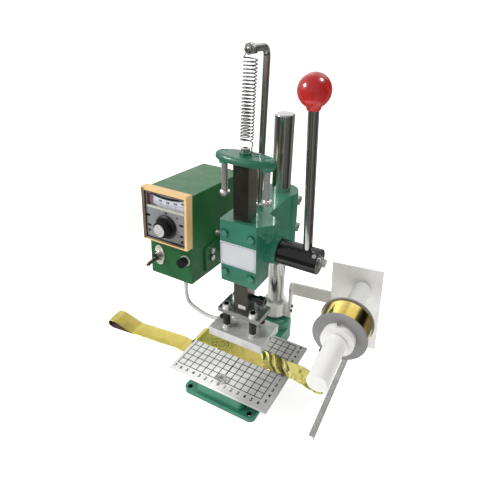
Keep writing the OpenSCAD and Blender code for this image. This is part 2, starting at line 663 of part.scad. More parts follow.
// involute pinion, tooth by tooth
gear_a = 20;
base_r = pitch_r * cos(gear_a);
function inv(a) = tan(a) * 180 / PI - a;
function half_tooth(r) = let (a = acos(min(1, base_r / r))) 90 / gear_n - 0.55 + inv(gear_a) - inv(a);
tooth_rs = [base_r + 0.02, 13, 13.5, 14, 14.5, 14.95];
module pinion_2d() polygon([for (k = [0:gear_n - 1]) each concat(
    [let (a = 360 / gear_n * k - half_tooth(tooth_rs[0]) - 1.2) [11.65 * cos(a), 11.65 * sin(a)]],
    [for (r = tooth_rs) let (a = 360 / gear_n * k - half_tooth(r)) [r * cos(a), r * sin(a)]],
    [for (i = [len(tooth_rs) - 1:-1:0]) let (r = tooth_rs[i], a = 360 / gear_n * k + half_tooth(r)) [r * cos(a), r * sin(a)]],
    [let (a = 360 / gear_n * k + half_tooth(tooth_rs[0]) + 1.2) [11.65 * cos(a), 11.65 * sin(a)]])]);

module pinion_shaft() color([0.55, 0.55, 0.56]) difference() {
  union() {
    // a tooth space of the gear faces the rack
    translate([-9.9, pin_y, pin_z]) rotate([0, 90, 0]) rotate([0, 0, 90 + 180 / gear_n]) linear_extrude(19.8) pinion_2d();
    cx(-30, pin_y, pin_z, 7, 120, 64);
  }
  cx(74, pin_y, pin_z, 3, 17);
  translate([85.6, pin_y, pin_z]) rotate([40, 0, 0]) translate([-2.6, -4, 6.2]) cube([5.2, 8, 2]);
}

module lever_hub() color(black) difference() {
  cx(40, pin_y, pin_z, 15.75, 50, 96);
  cx(39, pin_y, pin_z, 7, 52, 64);
  lever_frame() translate([73.8, 0, 0]) cylinder(r = lever_d / 2, h = 20, $fn = 48);
  translate([85.6, pin_y, pin_z]) rotate([40, 0, 0]) cylinder(r = 2.5, h = 20, $fn = 32);
}

module hub_fasteners() color(steel) {
  cx(76, pin_y, pin_z, 3, 14.5);
  cx(90, pin_y, pin_z, 6.8, 1.2);
  translate([91.2, pin_y, pin_z]) rotate([0, 90, 0]) hexz(10, 5.8);
  difference() {
    translate([85.6, pin_y, pin_z]) rotate([40, 0, 0]) translate([0, 0, 6.2]) cylinder(r = 2.5, h = 9.4, $fn = 32);
    translate([85.6, pin_y, pin_z]) rotate([40, 0, 0]) translate([0, 0, 13]) hexz(2.6, 4);
  }
}

module lever_rod() color("silver") lever_frame() translate([73.8, 0, 0]) difference() {
  union() {
    difference() {
      translate([0, 0, 6]) cylinder(r = lever_d / 2, h = lever_len - 24, $fn = 48);
      translate([-15, 0, 0]) rotate([0, 90, 0]) cylinder(r = 7, h = 30, $fn = 64);
    }
    cylinder_stud();
  }
  translate([0, 0, 54]) rotate([90, 0, 62]) translate([0, 0, 2.5]) cylinder(r = 1.3, h = 9, $fn = 24);
}
module cylinder_stud() translate([0, 0, lever_len - 19]) cylinder(r = 4, h = 17, $fn = 40);

module lever_knob() color([0.75, 0.08, 0.08]) lever_frame() translate([73.8, 0, 0]) difference() {
  union() {
    translate([0, 0, lever_len]) sphere(d = ball_d, $fn = 96);
    translate([0, 0, lever_len - 18]) cylinder(r1 = 6.8, r2 = 8.6, h = 6, $fn = 64);
  }
  translate([0, 0, lever_len - 30]) cylinder(r = 4, h = 28, $fn = 40);
}

// ---------- small controls ----------

module dial_knob() color(black) box_frame() {
  translate([-32, -10.3, -45.5]) rotate([90, 0, 0]) rotate_extrude($fn = 72)
    polygon([[0, 0], [16.2, 0], [16.2, 1.6], [14.6, 3.4], [12, 4.2], [0, 4.2]]);
  translate([-32, -24, -45.5]) rotate([-90, 0, 0]) linear_extrude(10.2) polygon([for (i = [0:47]) let (r = i % 2 == 0 ? 11.2 : 10.5) [r * cos(7.5 * i), r * sin(7.5 * i)]]);
  cyl_y(-32, -25.4, -45.5, 8.6, 1.6, 64);
  cyl_y(-32, -10.4, -45.5, 3, 13);
}

module meter_needle() color([0.75, 0.15, 0.1]) box_frame() translate([-34, -7, -36]) rotate([0, -50, 0]) {
  translate([-0.5, 0, 0]) cube([1, 0.6, 26]);
  cyl_y(0, 0, 0, 2.4, 1.2, 32);
  cyl_y(0, 0, 0, 1, 4.6, 32);
}

module toggle_lever() color("silver") box_frame() translate([-54, -3, -97]) rotate([11, 0, 0]) {
  rotate([0, 90, 0]) cylinder(r = 3, h = 3.6, center = true, $fn = 48);
  rotate([90, 0, 0]) cylinder(r1 = 1.6, r2 = 2.75, h = 22, $fn = 40);
  translate([0, -22, 0]) sphere(r = 2.75, $fn = 40);
}

module fuse_cap() color(black) box_frame() {
  translate([-10, -12, -93]) rotate([-90, 0, 0]) linear_extrude(9.8) polygon([for (i = [0:35]) let (r = i % 2 == 0 ? 6.8 : 6.3) [r * cos(10 * i), r * sin(10 * i)]]);
  cyl_y(-10, -3, -93, 4.62, 12, 48);
}

base_casting();
column();
base_screws();
work_table();
support_collar();
collar_bolts();
rack_post();
rack_arm();
rack_bolts();
foil_plate();
foil_rod();
foil_discs();
disc_hubs();
hub_set_screws();
guide_bar();
foil_web();
foil_roll();
foil_core();
head_casting();
front_cover();
cover_screws();
nameplate();
pinch_bolts();
spring_post();
spring_post_nuts();
pinion_bushes();
return_spring();
box_bracket();
bracket_bolts();
control_box();
box_rear_cover();
controller_bezel();
controller_body();
toggle_switch();
fuse_holder();
mains_inlet();
cable_gland();
heater_cable();
ram_bar();
yoke_plate();
yoke_screw();
stop_locknuts();
connection_plate();
ram_clamp_screw();
plate_bolts();
insulating_spacers();
heater_block();
cartridge_heater();
thermocouple();
stop_screw_left();
stop_screw_right();
pinion_shaft();
lever_hub();
hub_fasteners();
lever_rod();
lever_knob();
dial_knob();
meter_needle();
toggle_lever();
fuse_cap();
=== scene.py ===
import json
import math

import bpy
import numpy as np
from mathutils import Matrix, Vector, noise


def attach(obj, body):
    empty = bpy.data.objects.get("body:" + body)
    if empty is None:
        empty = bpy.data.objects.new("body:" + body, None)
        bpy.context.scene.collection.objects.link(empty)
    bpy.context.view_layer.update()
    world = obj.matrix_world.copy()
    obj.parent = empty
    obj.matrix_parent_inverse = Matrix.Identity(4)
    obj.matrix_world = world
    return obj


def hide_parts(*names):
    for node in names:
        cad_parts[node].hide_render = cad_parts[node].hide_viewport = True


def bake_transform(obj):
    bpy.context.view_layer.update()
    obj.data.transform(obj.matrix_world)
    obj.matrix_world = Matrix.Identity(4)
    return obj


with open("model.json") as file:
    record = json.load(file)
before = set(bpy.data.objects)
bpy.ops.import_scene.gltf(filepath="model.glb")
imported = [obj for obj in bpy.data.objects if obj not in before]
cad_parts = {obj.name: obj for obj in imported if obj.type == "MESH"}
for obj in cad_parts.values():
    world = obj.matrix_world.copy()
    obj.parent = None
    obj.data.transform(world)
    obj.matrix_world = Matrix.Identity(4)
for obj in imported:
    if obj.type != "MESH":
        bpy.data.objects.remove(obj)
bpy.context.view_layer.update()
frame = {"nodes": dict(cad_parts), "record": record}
NODES = frame["nodes"]
SCENE = bpy.context.scene
MM = 0.001
RNG = np.random.default_rng(7)


# ---------------------------------------------------------------- frames
def T(x, y, z):
    return Matrix.Translation((x, y, z))


def R(deg, axis):
    return Matrix.Rotation(math.radians(deg), 4, axis)


WORLD = Matrix.Identity(4)
BOX = T(-76.3, 10.2, 262.7) @ R(-4.4, "X")
RACK = T(0, 108.7, 0) @ R(2.8, "Z")
RACK_TILT = RACK @ T(30.2, 0, 106.7) @ R(-3.6, "Y")
POST = T(0, 46, 253) @ R(3.4, "Z") @ R(-3.6, "X")
BEND = POST @ T(0, -10, 171) @ R(90, "Z") @ R(90, "X")
ARM = BEND @ R(90.45, "Z") @ T(10, 35, 0) @ R(90, "X")
LEVER = T(0, 33.5, 208) @ R(6.5, "X")


# ---------------------------------------------------------------- camera
def make_camera():
    cam = bpy.data.cameras.new("camera")
    cam.sensor_width = 36
    cam.lens = 32.114
    cam.clip_start, cam.clip_end = 0.01, 200
    o = bpy.data.objects.new("camera", cam)
    SCENE.collection.objects.link(o)
    x, y, z = (0.872, 0.4893, 0.0127), (-0.263, 0.4465, 0.8553), (0.4128, -0.7492, 0.518)
    o.matrix_world = Matrix(((x[0], y[0], z[0], 0.2321), (x[1], y[1], z[1], -0.3964), (x[2], y[2], z[2], 0.4930), (0, 0, 0, 1)))
    SCENE.camera = o


make_camera()


# ---------------------------------------------------------------- material kit
def new_mat(name):
    m = bpy.data.materials.new(name)
    m.use_nodes = True
    return m, m.node_tree, m.node_tree.nodes["Principled BSDF"]


def nd(nt, kind, ins=None, **props):
    n = nt.nodes.new(kind)
    for k, v in props.items():
        setattr(n, k, v)
    for k, v in (ins or {}).items():
        if isinstance(v, bpy.types.NodeSocket):
            nt.links.new(v, n.inputs[k])
        else:
            n.inputs[k].default_value = v
    return n


def math_(nt, op, a, b=0.0, c=0.0):
    n = nt.nodes.new("ShaderNodeMath")
    n.operation = op
    for i, v in enumerate((a, b, c)):
        if isinstance(v, bpy.types.NodeSocket):
            nt.links.new(v, n.inputs[i])
        else:
            n.inputs[i].default_value = v
    return n.outputs[0]


def coords(nt, scale=(1, 1, 1)):
    tc = nt.nodes.new("ShaderNodeTexCoord")
    mp = nd(nt, "ShaderNodeMapping", {"Vector": tc.outputs["Object"], "Scale": scale})
    return mp.outputs["Vector"]


def noise_tex(nt, scale, detail=4.0, rough=0.55, stretch=(1, 1, 1), distortion=0.0):
    n = nd(nt, "ShaderNodeTexNoise", {"Vector": coords(nt, stretch), "Scale": scale, "Detail": detail, "Roughness": rough, "Distortion": distortion})
    return n.outputs["Fac"]


def remap(nt, fac, lo, hi, a=0.0, b=1.0):
    n = nd(nt, "ShaderNodeMapRange", {"Value": fac, "From Min": lo, "From Max": hi, "To Min": a, "To Max": b})
    return n.outputs["Result"]


def mix(nt, fac, a, b):
    n = nt.nodes.new("ShaderNodeMix")
    n.data_type = "RGBA"
    for i, v in ((0, fac), (6, a), (7, b)):
        if isinstance(v, bpy.types.NodeSocket):
            nt.links.new(v, n.inputs[i])
        else:
            n.inputs[i].default_value = v if i == 0 else (*v, 1)
    return n.outputs[2]


def bump(nt, bs, height, strength, distance, normal=None):
    n = nd(nt, "ShaderNodeBump", {"Height": height, "Strength": strength, "Distance": distance})
    if normal is not None:
        nt.links.new(normal, n.inputs["Normal"])
    nt.links.new(n.outputs["Normal"], bs.inputs["Normal"])
    return n.outputs["Normal"]


def edge_mask(nt, radius, samples=4):
    """1 on sharp edges, 0 on flat faces."""
    bev = nt.nodes.new("ShaderNodeBevel")
    bev.samples = samples
    bev.inputs["Radius"].default_value = radius
    geo = nt.nodes.new("ShaderNodeNewGeometry")
    d = nt.nodes.new("ShaderNodeVectorMath")
    d.operation = "DOT_PRODUCT"
    nt.links.new(bev.outputs["Normal"], d.inputs[0])
    nt.links.new(geo.outputs["True Normal"], d.inputs[1])
    return math_(nt, "SUBTRACT", 1.0, d.outputs["Value"])


def lin(r, g, b):
    """sRGB 0..255 to linear."""
    return tuple((c / 255 / 12.92) if c / 255 <= 0.04045 else ((c / 255 + 0.055) / 1.055) ** 2.4 for c in (r, g, b))


def enamel(name, base, dark, rough, coat, coat_rough, orange=0.00018, edge_wear_and_highlight=True, metallic=0.0):
    """Sprayed enamel over iron: slight orange peel, colour drift, paler on edges (partly thinner paint, partly painted
    highlight).
    """
    m, nt, bs = new_mat(name)
    drift = noise_tex(nt, 28, 5, 0.6)
    col = mix(nt, remap(nt, drift, 0.3, 0.7), base, dark)
    fleck = noise_tex(nt, 900, 2, 0.5)
    col = mix(nt, remap(nt, fleck, 0.62, 0.74, 0, 0.35), col, tuple(min(1, c * 1.6 + 0.02) for c in base))
    if edge_wear_and_highlight:
        # edges lightened by a bevel mask: partly wear, partly painted highlight
        e = remap(nt, edge_mask(nt, 0.0007), 0.03, 0.22, 0, 0.55)
        col = mix(nt, e, col, tuple(min(1, c * 1.75 + 0.03) for c in base))
    nt.links.new(col, bs.inputs["Base Color"])
    nt.links.new(remap(nt, noise_tex(nt, 60, 4, 0.6), 0.3, 0.7, rough - 0.06, rough + 0.08), bs.inputs["Roughness"])
    bs.inputs["Metallic"].default_value = metallic
    bs.inputs["Coat Weight"].default_value = coat
    bs.inputs["Coat Roughness"].default_value = coat_rough
    bump(nt, bs, noise_tex(nt, 420, 3, 0.55), 0.35, orange)
    return m


def metal(name, base, dark, rough, spread=0.08, brush=(1, 1, 1), brush_scale=900, bump_mm=0.02, patch=24, aniso=0.0, edge=0.0, edge_col=None, metallic=1.0):
    """Bare or plated metal: patchy tone, brushed or ground scratches stretched along one direction."""
    m, nt, bs = new_mat(name)
    cloud = noise_tex(nt, patch, 5, 0.6)
    line = noise_tex(nt, brush_scale, 5, 0.65, brush)
    tone = math_(nt, "ADD", math_(nt, "MULTIPLY", cloud, 0.5), math_(nt, "MULTIPLY", line, 0.5))
    col = mix(nt, remap(nt, tone, 0.36, 0.64), dark, base)
    if edge:
        # edges lightened towards edge_col by a bevel mask: partly wear, partly painted highlight
        e = remap(nt, edge_mask(nt, 0.0005), 0.02, 0.2, 0, edge)
        col = mix(nt, e, col, edge_col or (0.85, 0.85, 0.84))
    nt.links.new(col, bs.inputs["Base Color"])
    bs.inputs["Metallic"].default_value = metallic
    nt.links.new(remap(nt, line, 0.3, 0.7, rough - spread, rough + spread), bs.inputs["Roughness"])
    if aniso:
        bs.inputs["Anisotropic"].default_value = aniso
    if bump_mm:
        bump(nt, bs, line, 0.4, bump_mm * MM)
    return m


def plastic(name, base, dark, rough, grain=700, bump_mm=0.02, coat=0.0, patch=20, sss=0.0):
    m, nt, bs = new_mat(name)
    col = mix(nt, remap(nt, noise_tex(nt, patch, 5, 0.6), 0.3, 0.7), base, dark)
    nt.links.new(col, bs.inputs["Base Color"])
    nt.links.new(remap(nt, noise_tex(nt, 90, 4), 0.3, 0.7, rough - 0.05, rough + 0.07), bs.inputs["Roughness"])
    if coat:
        bs.inputs["Coat Weight"].default_value = coat
        bs.inputs["Coat Roughness"].default_value = 0.08
    if sss:
        bs.inputs["Subsurface Weight"].default_value = sss
        bs.inputs["Subsurface Radius"].default_value = (0.003, 0.003, 0.003)
    if bump_mm:
        bump(nt, bs, noise_tex(nt, grain, 3), 0.4, bump_mm * MM)
    return m


MATS = {}
MATS["green_enamel"] = enamel("green_enamel", lin(39, 122, 97), lin(28, 101, 79), 0.42, 0.42, 0.06)
MATS["green_screws"] = enamel("green_screws", lin(58, 132, 108), lin(40, 108, 86), 0.36, 0.7, 0.1)
MATS["box_enamel"] = enamel("box_enamel", lin(22, 102, 48), lin(18, 90, 42), 0.5, 0.16, 0.2, orange=0.00012)
MATS["chrome"] = metal("chrome", (0.74, 0.74, 0.72), (0.60, 0.60, 0.57), 0.12, 0.04, (30, 30, 1), 60, 0.004, 30)
MATS["steel"] = metal("steel", (0.78, 0.78, 0.76), (0.55, 0.55, 0.53), 0.27, 0.08, (4, 4, 1), 500, 0.01, 60, edge=0.5)
MATS["dark_steel"] = metal("dark_steel", lin(112, 110, 102), lin(72, 70, 64), 0.42, 0.1, (40, 40, 1), 120, 0.012, 22, edge=0.55, edge_col=(0.36, 0.35, 0.34))
MATS["plate_steel"] = metal("plate_steel", (0.42, 0.42, 0.41), (0.20, 0.20, 0.19), 0.34, 0.1, (1, 22, 22), 160, 0.015, 45, edge=0.75, edge_col=(0.95, 0.95, 0.94))
MATS["shaft_steel"] = metal("shaft_steel", (0.62, 0.62, 0.61), (0.5, 0.5, 0.5), 0.25, 0.06, (1, 30, 30), 160)
MATS["strip_steel"] = metal("strip_steel", lin(238, 236, 228), lin(206, 203, 195), 0.44, 0.08, (2, 2, 26), 130, 0.012, 18, edge=0.35, metallic=0.28)
MATS["table_aluminium"] = metal("table_aluminium", (1.0, 1.0, 1.0), (0.90, 0.90, 0.89), 0.34, 0.07, (1.5, 40, 40), 110, 0.004, 30, edge=0.4, metallic=0.0)


def dull_side(m, x0, x1, k):
    """Painted reflection: the tone drops by the factor k from x0 to x1 (metres), darkening the plate's side as if it
    reflected less light.
    """
    nt = m.node_tree
    bs = nt.nodes["Principled BSDF"]
    src = bs.inputs["Base Color"].links[0].from_socket
    sep = nd(nt, "ShaderNodeSeparateXYZ", {"Vector": coords(nt)})
    wob = math_(nt, "ADD", sep.outputs["X"], math_(nt, "MULTIPLY", math_(nt, "SUBTRACT", noise_tex(nt, 18, 3), 0.5), 0.05))
    shade = mix(nt, remap(nt, wob, x0, x1), (1, 1, 1), (k, k, k * 0.98))
    mul = nt.nodes.new("ShaderNodeMix")
    mul.data_type, mul.blend_type = "RGBA", "MULTIPLY"
    mul.inputs[0].default_value = 1.0
    nt.links.new(src, mul.inputs[6])
    nt.links.new(shade, mul.inputs[7])
    nt.links.new(mul.outputs[2], bs.inputs["Base Color"])


# painted reflection: the table top is white at the left and darker grey towards the right
dull_side(MATS["table_aluminium"], -0.004, 0.05, 0.42)
MATS["heater_aluminium"] = metal("heater_aluminium", (0.90, 0.90, 0.89), (0.64, 0.64, 0.63), 0.42, 0.08, (1, 26, 26), 140, 0.02, 60, edge=0.4, metallic=0.6)
MATS["nameplate_aluminium"] = metal("nameplate_aluminium", lin(206, 209, 212), lin(190, 194, 198), 0.42, 0.06, (30, 1, 30), 160, 0.006, 40, metallic=0.12)
MATS["bronze"] = metal("bronze", lin(190, 150, 90), lin(160, 120, 70), 0.3, 0.08)
MATS["heater_steel"] = metal("heater_steel", lin(150, 140, 125), lin(110, 100, 88), 0.45, 0.1)
MATS["black_steel"] = plastic("black_steel", lin(9, 10, 13), lin(4, 5, 7), 0.18, 120, 0.01, 0.3)
MATS["black_plastic"] = plastic("black_plastic", lin(28, 27, 28), lin(16, 15, 16), 0.42, 600, 0.02)
MATS["spacer_black"] = plastic("spacer_black", lin(26, 25, 24), lin(12, 11, 10), 0.5, 500, 0.04)
MATS["red_knob"] = plastic("red_knob", lin(178, 22, 22), lin(160, 14, 16), 0.26, 120, 0.01, 0.7, 24)
MATS["bezel_plastic"] = plastic("bezel_plastic", lin(236, 198, 138), lin(218, 176, 116), 0.5, 500, 0.03, 0.1, 30)
MATS["controller_plastic"] = plastic("controller_plastic", lin(140, 140, 144), lin(122, 124, 126), 0.5, 500, 0.03)
MATS["needle_red"] = plastic("needle_red", lin(190, 52, 36), lin(170, 40, 30), 0.4)
MATS["white_plastic"] = plastic("white_plastic", lin(237, 236, 233), lin(228, 227, 224), 0.45, 300, 0.03, 0.0, 30, 0.2)
MATS["grey_plastic"] = plastic("grey_plastic", lin(147, 146, 146), lin(128, 127, 127), 0.5, 300, 0.03, 0.0, 26)
MATS["pale_plastic"] = plastic("pale_plastic", lin(214, 212, 200), lin(196, 194, 184), 0.45)
MATS["core_card"] = plastic("core_card", lin(176, 150, 112), lin(150, 126, 92), 0.8, 900, 0.08)


def gold_mats():
    out = []
    # metallised face, and copies of it: a smoother, brighter one on the shiny waves and a bright lit one on the
    # crumples (painted highlight), a dark one in folds and creases and a darker one on the bench (painted shade)
    for name, rough, metallic in (("gold_foil", 0.27, 0.66), ("gold_foil_wave_highlight", 0.15, 0.94), ("gold_foil_fold_shade", 0.2, 0.9), ("gold_foil_lit", 0.24, 0.7), ("gold_foil_bench_shaded", 0.27, 0.66)):
        m, nt, bs = new_mat(name)
        streak = noise_tex(nt, 120, 4, 0.6, (1, 14, 14))
        cloud = noise_tex(nt, 30, 5, 0.6)
        tone = math_(nt, "ADD", math_(nt, "MULTIPLY", cloud, 0.6), math_(nt, "MULTIPLY", streak, 0.4))
        col = mix(nt, remap(nt, tone, 0.36, 0.64), *{"gold_foil": (lin(214, 196, 98), lin(232, 216, 122)), "gold_foil_wave_highlight": (lin(236, 220, 128), lin(252, 240, 164)), "gold_foil_bench_shaded": (lin(196, 179, 84), lin(214, 198, 106))}.get(name, (lin(112, 104, 48), lin(142, 132, 66)) if name == "gold_foil_fold_shade" else (lin(252, 236, 132), lin(255, 246, 160))))
        nt.links.new(col, bs.inputs["Base Color"])
        bs.inputs["Metallic"].default_value = metallic
        nt.links.new(remap(nt, cloud, 0.3, 0.7, rough - 0.04, rough + 0.05), bs.inputs["Roughness"])
        bump(nt, bs, noise_tex(nt, 120, 3, 0.5), 0.14, 0.00006)
        out.append(m)
    # resin side
    m, nt, bs = new_mat("foil_underside")
    col = mix(nt, remap(nt, noise_tex(nt, 60, 4), 0.3, 0.7), lin(86, 50, 52), lin(62, 34, 40))
    nt.links.new(col, bs.inputs["Base Color"])
    bs.inputs["Metallic"].default_value = 0.4
    nt.links.new(remap(nt, noise_tex(nt, 40, 4), 0.3, 0.7, 0.28, 0.42), bs.inputs["Roughness"])
    bump(nt, bs, noise_tex(nt, 170, 4, 0.6), 0.3, 0.0002)
    out.append(m)
    # wound roll: mirror-like with faint winding lines round the axis
    m, nt, bs = new_mat("gold_roll")
    wind = noise_tex(nt, 300, 3, 0.6, (0.4, 30, 0.4))
    cloud = noise_tex(nt, 26, 4, 0.6)
    col = mix(nt, remap(nt, cloud, 0.34, 0.66), lin(228, 198, 100), lin(240, 218, 132))
    nt.links.new(col, bs.inputs["Base Color"])
    bs.inputs["Metallic"].default_value = 1.0
    nt.links.new(remap(nt, wind, 0.3, 0.7, 0.06, 0.11), bs.inputs["Roughness"])
    bump(nt, bs, noise_tex(nt, 70, 4, 0.6), 0.5, 0.0004)
    out.append(m)
    return out


GOLD, GOLD_WAVE_HIGHLIGHT, GOLD_FOLD_SHADE, GOLD_LIT, GOLD_BENCH_SHADED, FOIL_BACK, GOLD_ROLL = gold_mats()
MATS["gold_foil"] = GOLD


def cable_mat():
    """Braided glass-fibre sleeve."""
    m, nt, bs = new_mat("cable_sleeve")
    v = coords(nt)
    w1 = nd(nt, "ShaderNodeTexWave", {"Vector": v, "Scale": 260.0, "Distortion": 1.5, "Detail": 2.0}, bands_direction="DIAGONAL")
    w2 = nd(nt, "ShaderNodeTexWave", {"Vector": coords(nt, (-1, 1, 1)), "Scale": 260.0, "Distortion": 1.5, "Detail": 2.0}, bands_direction="DIAGONAL")
    braid = math_(nt, "MULTIPLY", w1.outputs["Fac"], w2.outputs["Fac"])
    col = mix(nt, braid, lin(196, 197, 194), lin(232, 233, 230))
    col = mix(nt, remap(nt, noise_tex(nt, 50, 4), 0.4, 0.7, 0, 0.35), col, lin(204, 203, 196))
    nt.links.new(col, bs.inputs["Base Color"])
    bs.inputs["Roughness"].default_value = 0.62
    bump(nt, bs, braid, 0.5, 0.00012)
    return m


MATS["cable_sleeve"] = cable_mat()
INK = plastic("print_ink", lin(8, 8, 9), lin(16, 16, 17), 0.8, 800, 0.0)
INK.node_tree.nodes["Principled BSDF"].inputs["Specular IOR Level"].default_value = 0.15
WHITE_CARD = plastic("scale_card", lin(206, 209, 220), lin(190, 194, 206), 0.5, 400, 0.0)
CREAM = plastic("scale_band", lin(196, 196, 180), lin(180, 182, 166), 0.5, 400, 0.0)
PINKISH = plastic("scale_marker_pale", lin(150, 116, 122), lin(126, 96, 102), 0.5, 300, 0.0)
LENS_RED = plastic("lamp_red", lin(96, 16, 22), lin(70, 10, 16), 0.2, 200, 0.0, 0.8)
MAROON = plastic("scale_marker", lin(128, 72, 74), lin(96, 52, 54), 0.5, 300, 0.0)
SILVER_CAP = plastic("dial_cap", lin(214, 214, 214), lin(150, 150, 152), 0.35, 260, 0.05, 0.3, 260)
# black used as painted shade in sockets, holes and under the window hood and frame, and for dark gasket joints
SHADE_AND_JOINT_BLACK = plastic("painted_shade_and_joint_black", lin(18, 17, 16), lin(10, 10, 9), 0.6, 400, 0.03)
PLATE_LINE = plastic("plate_line", lin(120, 140, 170), lin(110, 130, 160), 0.5, 400, 0.0)
WIRE = metal("spring_wire", (0.36, 0.36, 0.35), (0.20, 0.20, 0.19), 0.2, 0.06, (1, 1, 1), 400, 0.01, 60)
MATS["recess"] = SHADE_AND_JOINT_BLACK
BRIGHT = metal("bright_steel", (0.88, 0.88, 0.87), (0.60, 0.60, 0.59), 0.3, 0.08, (4, 4, 1), 500, 0.01, 90, edge=0.5, metallic=0.6)
BRUSHED = metal("brushed_steel", (0.98, 0.97, 0.94), (0.76, 0.75, 0.72), 0.36, 0.06, (30, 30, 1), 60, 0.01, 40, edge=0.4, metallic=0.25)
TURNED = metal("turned_steel", (0.92, 0.91, 0.88), (0.70, 0.69, 0.66), 0.2, 0.05, (1, 1, 30), 140, 0.004, 40, edge=0.4, metallic=0.85)
# brighter tone for the ram's right face: painted highlight
RAM_SIDE_HIGHLIGHT = metal("ram_side_painted_highlight", lin(176, 174, 164), lin(128, 126, 118), 0.4, 0.1, (40, 40, 1), 120, 0.012, 22, edge=0.4)
BAR_STEEL = metal("bar_steel", (0.62, 0.62, 0.61), (0.37, 0.37, 0.36), 0.34, 0.08, (2, 2, 26), 130, 0.012, 30, edge=0.3, metallic=0.7)
TIP_STEEL = metal("worn_nickel", (0.34, 0.33, 0.31), (0.18, 0.17, 0.16), 0.3, 0.08, (1, 1, 1), 300, 0.01, 120)
BEZEL_SHADE_TRIM = plastic("bezel_painted_shade", lin(112, 102, 84), lin(86, 78, 64), 0.5, 500, 0.02)
PLATE_BACK = metal("back_plate_steel", (1.0, 0.99, 0.97), lin(236, 233, 226), 0.46, 0.1, (3, 2, 14), 60, 0.004, 26, edge=0.35, metallic=0.06)
# copies of the green enamel: darker on the yoke (painted shade), lighter on the base (painted light)
YOKE_GREEN_SHADED = enamel("yoke_enamel_painted_shade", lin(31, 108, 84), lin(20, 88, 68), 0.42, 0.34, 0.05)
BASE_GREEN_LIT = enamel("base_enamel_painted_light", lin(50, 133, 107), lin(36, 112, 89), 0.38, 0.55, 0.07)
NODE_MAT = {"foil_roll": GOLD_ROLL, "yoke_plate": YOKE_GREEN_SHADED, "base_casting": BASE_GREEN_LIT, "foil_plate": PLATE_BACK, "support_collar": BRUSHED, "plate_bolts": BRIGHT, "stop_screw_left": TURNED, "stop_screw_right": TURNED,
            "hub_set_screws": MATS["chrome"], "guide_bar": BAR_STEEL, "toggle_lever": TIP_STEEL}


